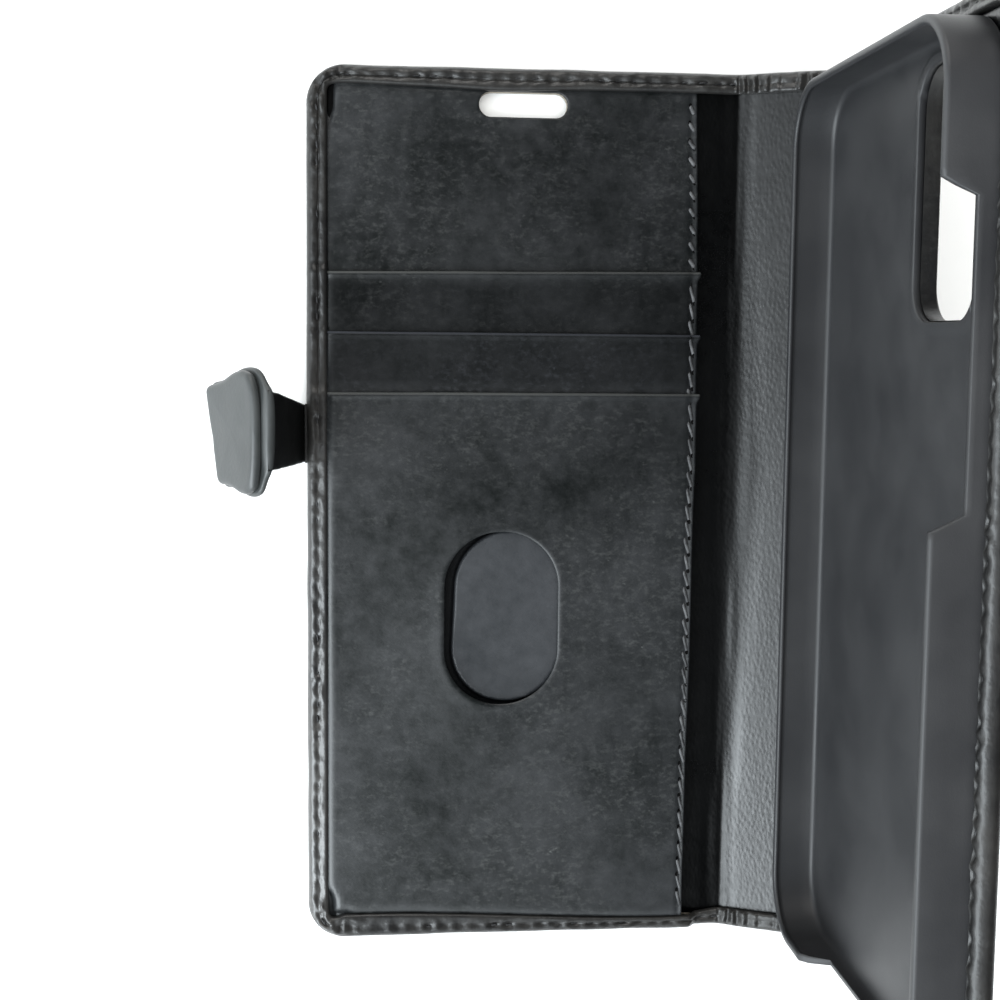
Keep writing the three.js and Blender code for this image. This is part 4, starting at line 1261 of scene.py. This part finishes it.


# The neck wears the painted shade copy of the strap's leather, the tab and its pad the painted highlight copy.
neck_piece = make_piece("strap_neck_leather", neck_strip(), NECK_LEATHER_PAINTED_SHADE, weld=True)
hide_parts("strap_neck_outer", "strap_neck_lining")
bend_ends = neck_place(np.array([[-ROOT_BEND_HALF, 0, 0], [ROOT_BEND_HALF, 0, 0.0]]))
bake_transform(neck_piece)
tab_piece = make_piece("tab_base_leather", tab_base(), TAB_LEATHER_PAINTED_LIT)
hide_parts("tab_outer_leather")
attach(tab_piece, "strap_tab")
pad_piece = make_piece("tab_pad_leather", tab_pad(), TAB_LEATHER_PAINTED_LIT)
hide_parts("tab_pad")
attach(pad_piece, "strap_tab")


# ---- Phone tray, moulded in one piece

def phone_tray():
    """The tray's floor, its camera window, and walls with a lip, a button notch and a port opening."""
    low, high = node_box("phone_tray")
    left, right = FOLD_2 + low[2] - BACK_Z, FOLD_2 + high[2] - BACK_Z
    half = high[1]
    base = BACK_X - high[0] + AXIS_HEIGHT
    rim = BACK_X - low[0] + AXIS_HEIGHT
    radius, grid_inset = 11.0, 2.6
    wall, lip = 1.0, 0.5
    floor = base + wall
    inner_radius = radius - grid_inset
    angle = np.linspace(0, math.pi / 2, 13)
    arc_x = left + grid_inset + inner_radius * (1 - np.cos(angle))
    arc_y = half - radius + inner_radius * np.sin(angle)
    straight = stations(left + radius, right - radius, 1.2)[1:-1]
    x = np.concatenate([arc_x, straight, (left + right - arc_x)[::-1]])
    top = np.concatenate([arc_y, np.full(len(straight), half - grid_inset), arc_y[::-1]])
    outward_x = np.concatenate([-np.cos(angle), 0 * straight, np.cos(angle)[::-1]])
    outward_y = np.concatenate([np.sin(angle), 0 * straight + 1, np.sin(angle)[::-1]])
    rows = round(2 * (half - radius) / 1.2)
    shares = np.linspace(0, 1, rows + 1)
    grid = np.stack([np.repeat(x[:, None], rows + 1, 1), (shares[None] * 2 - 1) * top[:, None]], -1)
    flat, faces, edge = cut_grid(grid, grow(CAMERA_WINDOW, 0.0), rim=(2.4, 1.7, 1.3, 0.9, 0.45, 0.2, 0.05, 0.0))
    near = distance_to_hole(flat[:, 0], flat[:, 1], CAMERA_WINDOW)
    collar = 0.35 * ease(near, 1.9, 1.2)
    rounding = 0.25 * (1 - round_edge(near, 0.3))
    made = Surface()
    above = made.add_points(np.column_stack([flat, floor + collar - rounding]))
    below = made.add_points(np.column_stack([flat, np.full(len(flat), base)]))
    made.faces += above[faces].tolist()
    made.faces += below[faces[:, ::-1]].tolist()
    made.add_quads(np.array([above[edge], below[edge]]), closed=True)
    columns = len(x)
    table = np.arange(columns * (rows + 1)).reshape(columns, rows + 1)
    ring = np.concatenate([table[::-1, -1], table[0, -2:0:-1], table[:, 0], table[-1, 1:-1]])
    out = np.concatenate([
        np.column_stack([outward_x, outward_y])[::-1],
        np.tile([-1.0, 0.0], (rows - 1, 1)),
        np.column_stack([outward_x, -outward_y]),
        np.tile([1.0, 0.0], (rows - 1, 1)),
    ])
    profile = [
        (2.0, floor + 0.01), (1.5, floor + 0.12), (1.15, floor + 0.4), (wall, floor + 0.9), (wall, floor + 3.0),
        (wall, rim - 1.5), (wall + 0.04, rim - 1.05), (wall + lip * 0.5, rim - 0.82), (wall + lip, rim - 0.6),
        (wall + lip, rim - 0.32), (wall + lip * 0.7, rim - 0.1), (wall, rim), (0.6, rim), (0.28, rim - 0.08),
        (0.07, rim - 0.3), (0.0, rim - 0.7), (0.0, floor + 4.0), (0.0, floor + 1.2), (0.0, base + 0.8),
        (0.12, base + 0.35), (0.4, base + 0.08), (0.9, base), (1.8, base),
    ]
    inner = flat[ring]
    button = ease(inner[:, 1], 6.2, 8.2) * ease(inner[:, 1], 53.8, 51.8) * (out[:, 0] > 0.9)
    middle = (left + right) / 2
    port = ease(np.abs(inner[:, 0] - middle), 18.0, 16.2) * (out[:, 1] < -0.9)
    drop = 5.0 * button + 5.2 * port
    no_lip = np.clip(button + port, 0, 1)
    rings = [above[ring]]
    for inset, height in profile:
        inset = inset + (np.minimum(inset, wall) - inset) * no_lip * (height > floor + 3.5)
        share = np.clip((height - floor - 0.9) / (rim - floor - 0.9), 0, 1)
        plan = inner + out * (grid_inset - inset)[:, None]
        rings.append(made.add_points(np.column_stack([plan, height - drop * share])))
    rings.append(below[ring])
    made.add_quads(np.array(rings), closed=True)
    made.points = on_back(made.points)
    return made


tray_piece = make_piece("phone_tray_moulding", phone_tray(), TRAY_PLASTIC)
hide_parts("phone_tray")
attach(tray_piece, "back_cover")


# ---- CAD pieces that stay: boards, anchor and magnets

def finish_node(name, material):
    slots = frame["nodes"][name].data.materials
    slots.clear()
    slots.append(material)


for node in ("front_board", "spine_stiffener", "back_board"):
    finish_node(node, BOARD)
for node in ("keeper_magnet_lower", "keeper_magnet_upper", "tab_magnet_lower", "tab_magnet_upper"):
    finish_node(node, NICKEL)
finish_node("strap_anchor", OUTER)


# ---- Floor, light and camera

def pale_floor():
    made = Surface()
    far = 1500
    made.add_points([[x, y, -0.06] for x, y in ((-far, -far), (far, -far), (far, far), (-far, far))])
    made.faces.append([0, 1, 2, 3])
    material, tree, shader, place = new_material("pale_floor", 0.8)
    two_tone(tree, shader, noise_node(tree, place, 6, 2), (0.86, 0.87, 0.86), (0.9, 0.9, 0.9))
    make_piece("floor", made, material)


def area_light(name, azimuth, elevation, distance, size, radiance, colour=(1, 1, 1), mirrored=True):
    """A soft box (width, height); mirrored is False for one that lights surfaces without shining in them."""
    data = bpy.data.lights.new(name, "AREA")
    data.shape = "RECTANGLE"
    data.size, data.size_y = size[0] * MM, size[1] * MM
    data.energy = radiance * math.pi * data.size * data.size_y
    data.color = colour
    light = bpy.data.objects.new(name, data)
    bpy.context.scene.collection.objects.link(light)
    level = math.cos(math.radians(elevation))
    direction = mathutils.Vector((
        level * math.cos(math.radians(azimuth)), level * math.sin(math.radians(azimuth)),
        math.sin(math.radians(elevation)),
    ))
    light.location = direction * distance * MM
    light.rotation_euler = direction.to_track_quat("Z", "Y").to_euler()
    light.visible_glossy = mirrored


def soft_studio():
    """A dim room, brighter towards the window, which stands low at the clasp side."""
    world = bpy.data.worlds.new("studio")
    bpy.context.scene.world = world
    world.use_nodes = True
    tree = world.node_tree
    background = tree.nodes["Background"]
    background.inputs["Color"].default_value = (0.9, 0.96, 1.0, 1)
    direction = add_node(tree, "ShaderNodeTexCoord").outputs["Generated"]
    facing = tree.nodes.new("ShaderNodeVectorMath")
    facing.operation = "DOT_PRODUCT"
    tree.links.new(direction, facing.inputs[0])
    facing.inputs[1].default_value = (-0.8, -0.6, 0.0)
    tree.links.new(map_range(tree, facing.outputs["Value"], 0.02, 0.6, 0.04, 1.6), background.inputs["Strength"])
    area_light("window", 215, 35, 1000, (1100, 520), 8.0, (0.88, 0.955, 1.0))
    area_light("doorway", 100, 32, 1000, (560, 460), 5.0, (1.0, 0.98, 0.95))
    area_light("ceiling", 90, 86, 1000, (1300, 1300), 2.9, (1.0, 0.995, 0.98), mirrored=False)


def camera():
    """The view from above, a little turned, with the lens of a phone's camera."""
    data = bpy.data.cameras.new("camera")
    data.lens = 55.8
    data.sensor_width = 36
    data.clip_start = 0.01
    view = bpy.data.objects.new("camera", data)
    bpy.context.scene.collection.objects.link(view)
    view.location = (-0.03071, 0.03141, 0.28933)
    view.rotation_euler = tuple(math.radians(angle) for angle in (-5.860, -5.273, 0.545))
    bpy.context.scene.camera = view


pale_floor()
soft_studio()
camera()
bpy.context.scene.view_settings.view_transform = "Standard"
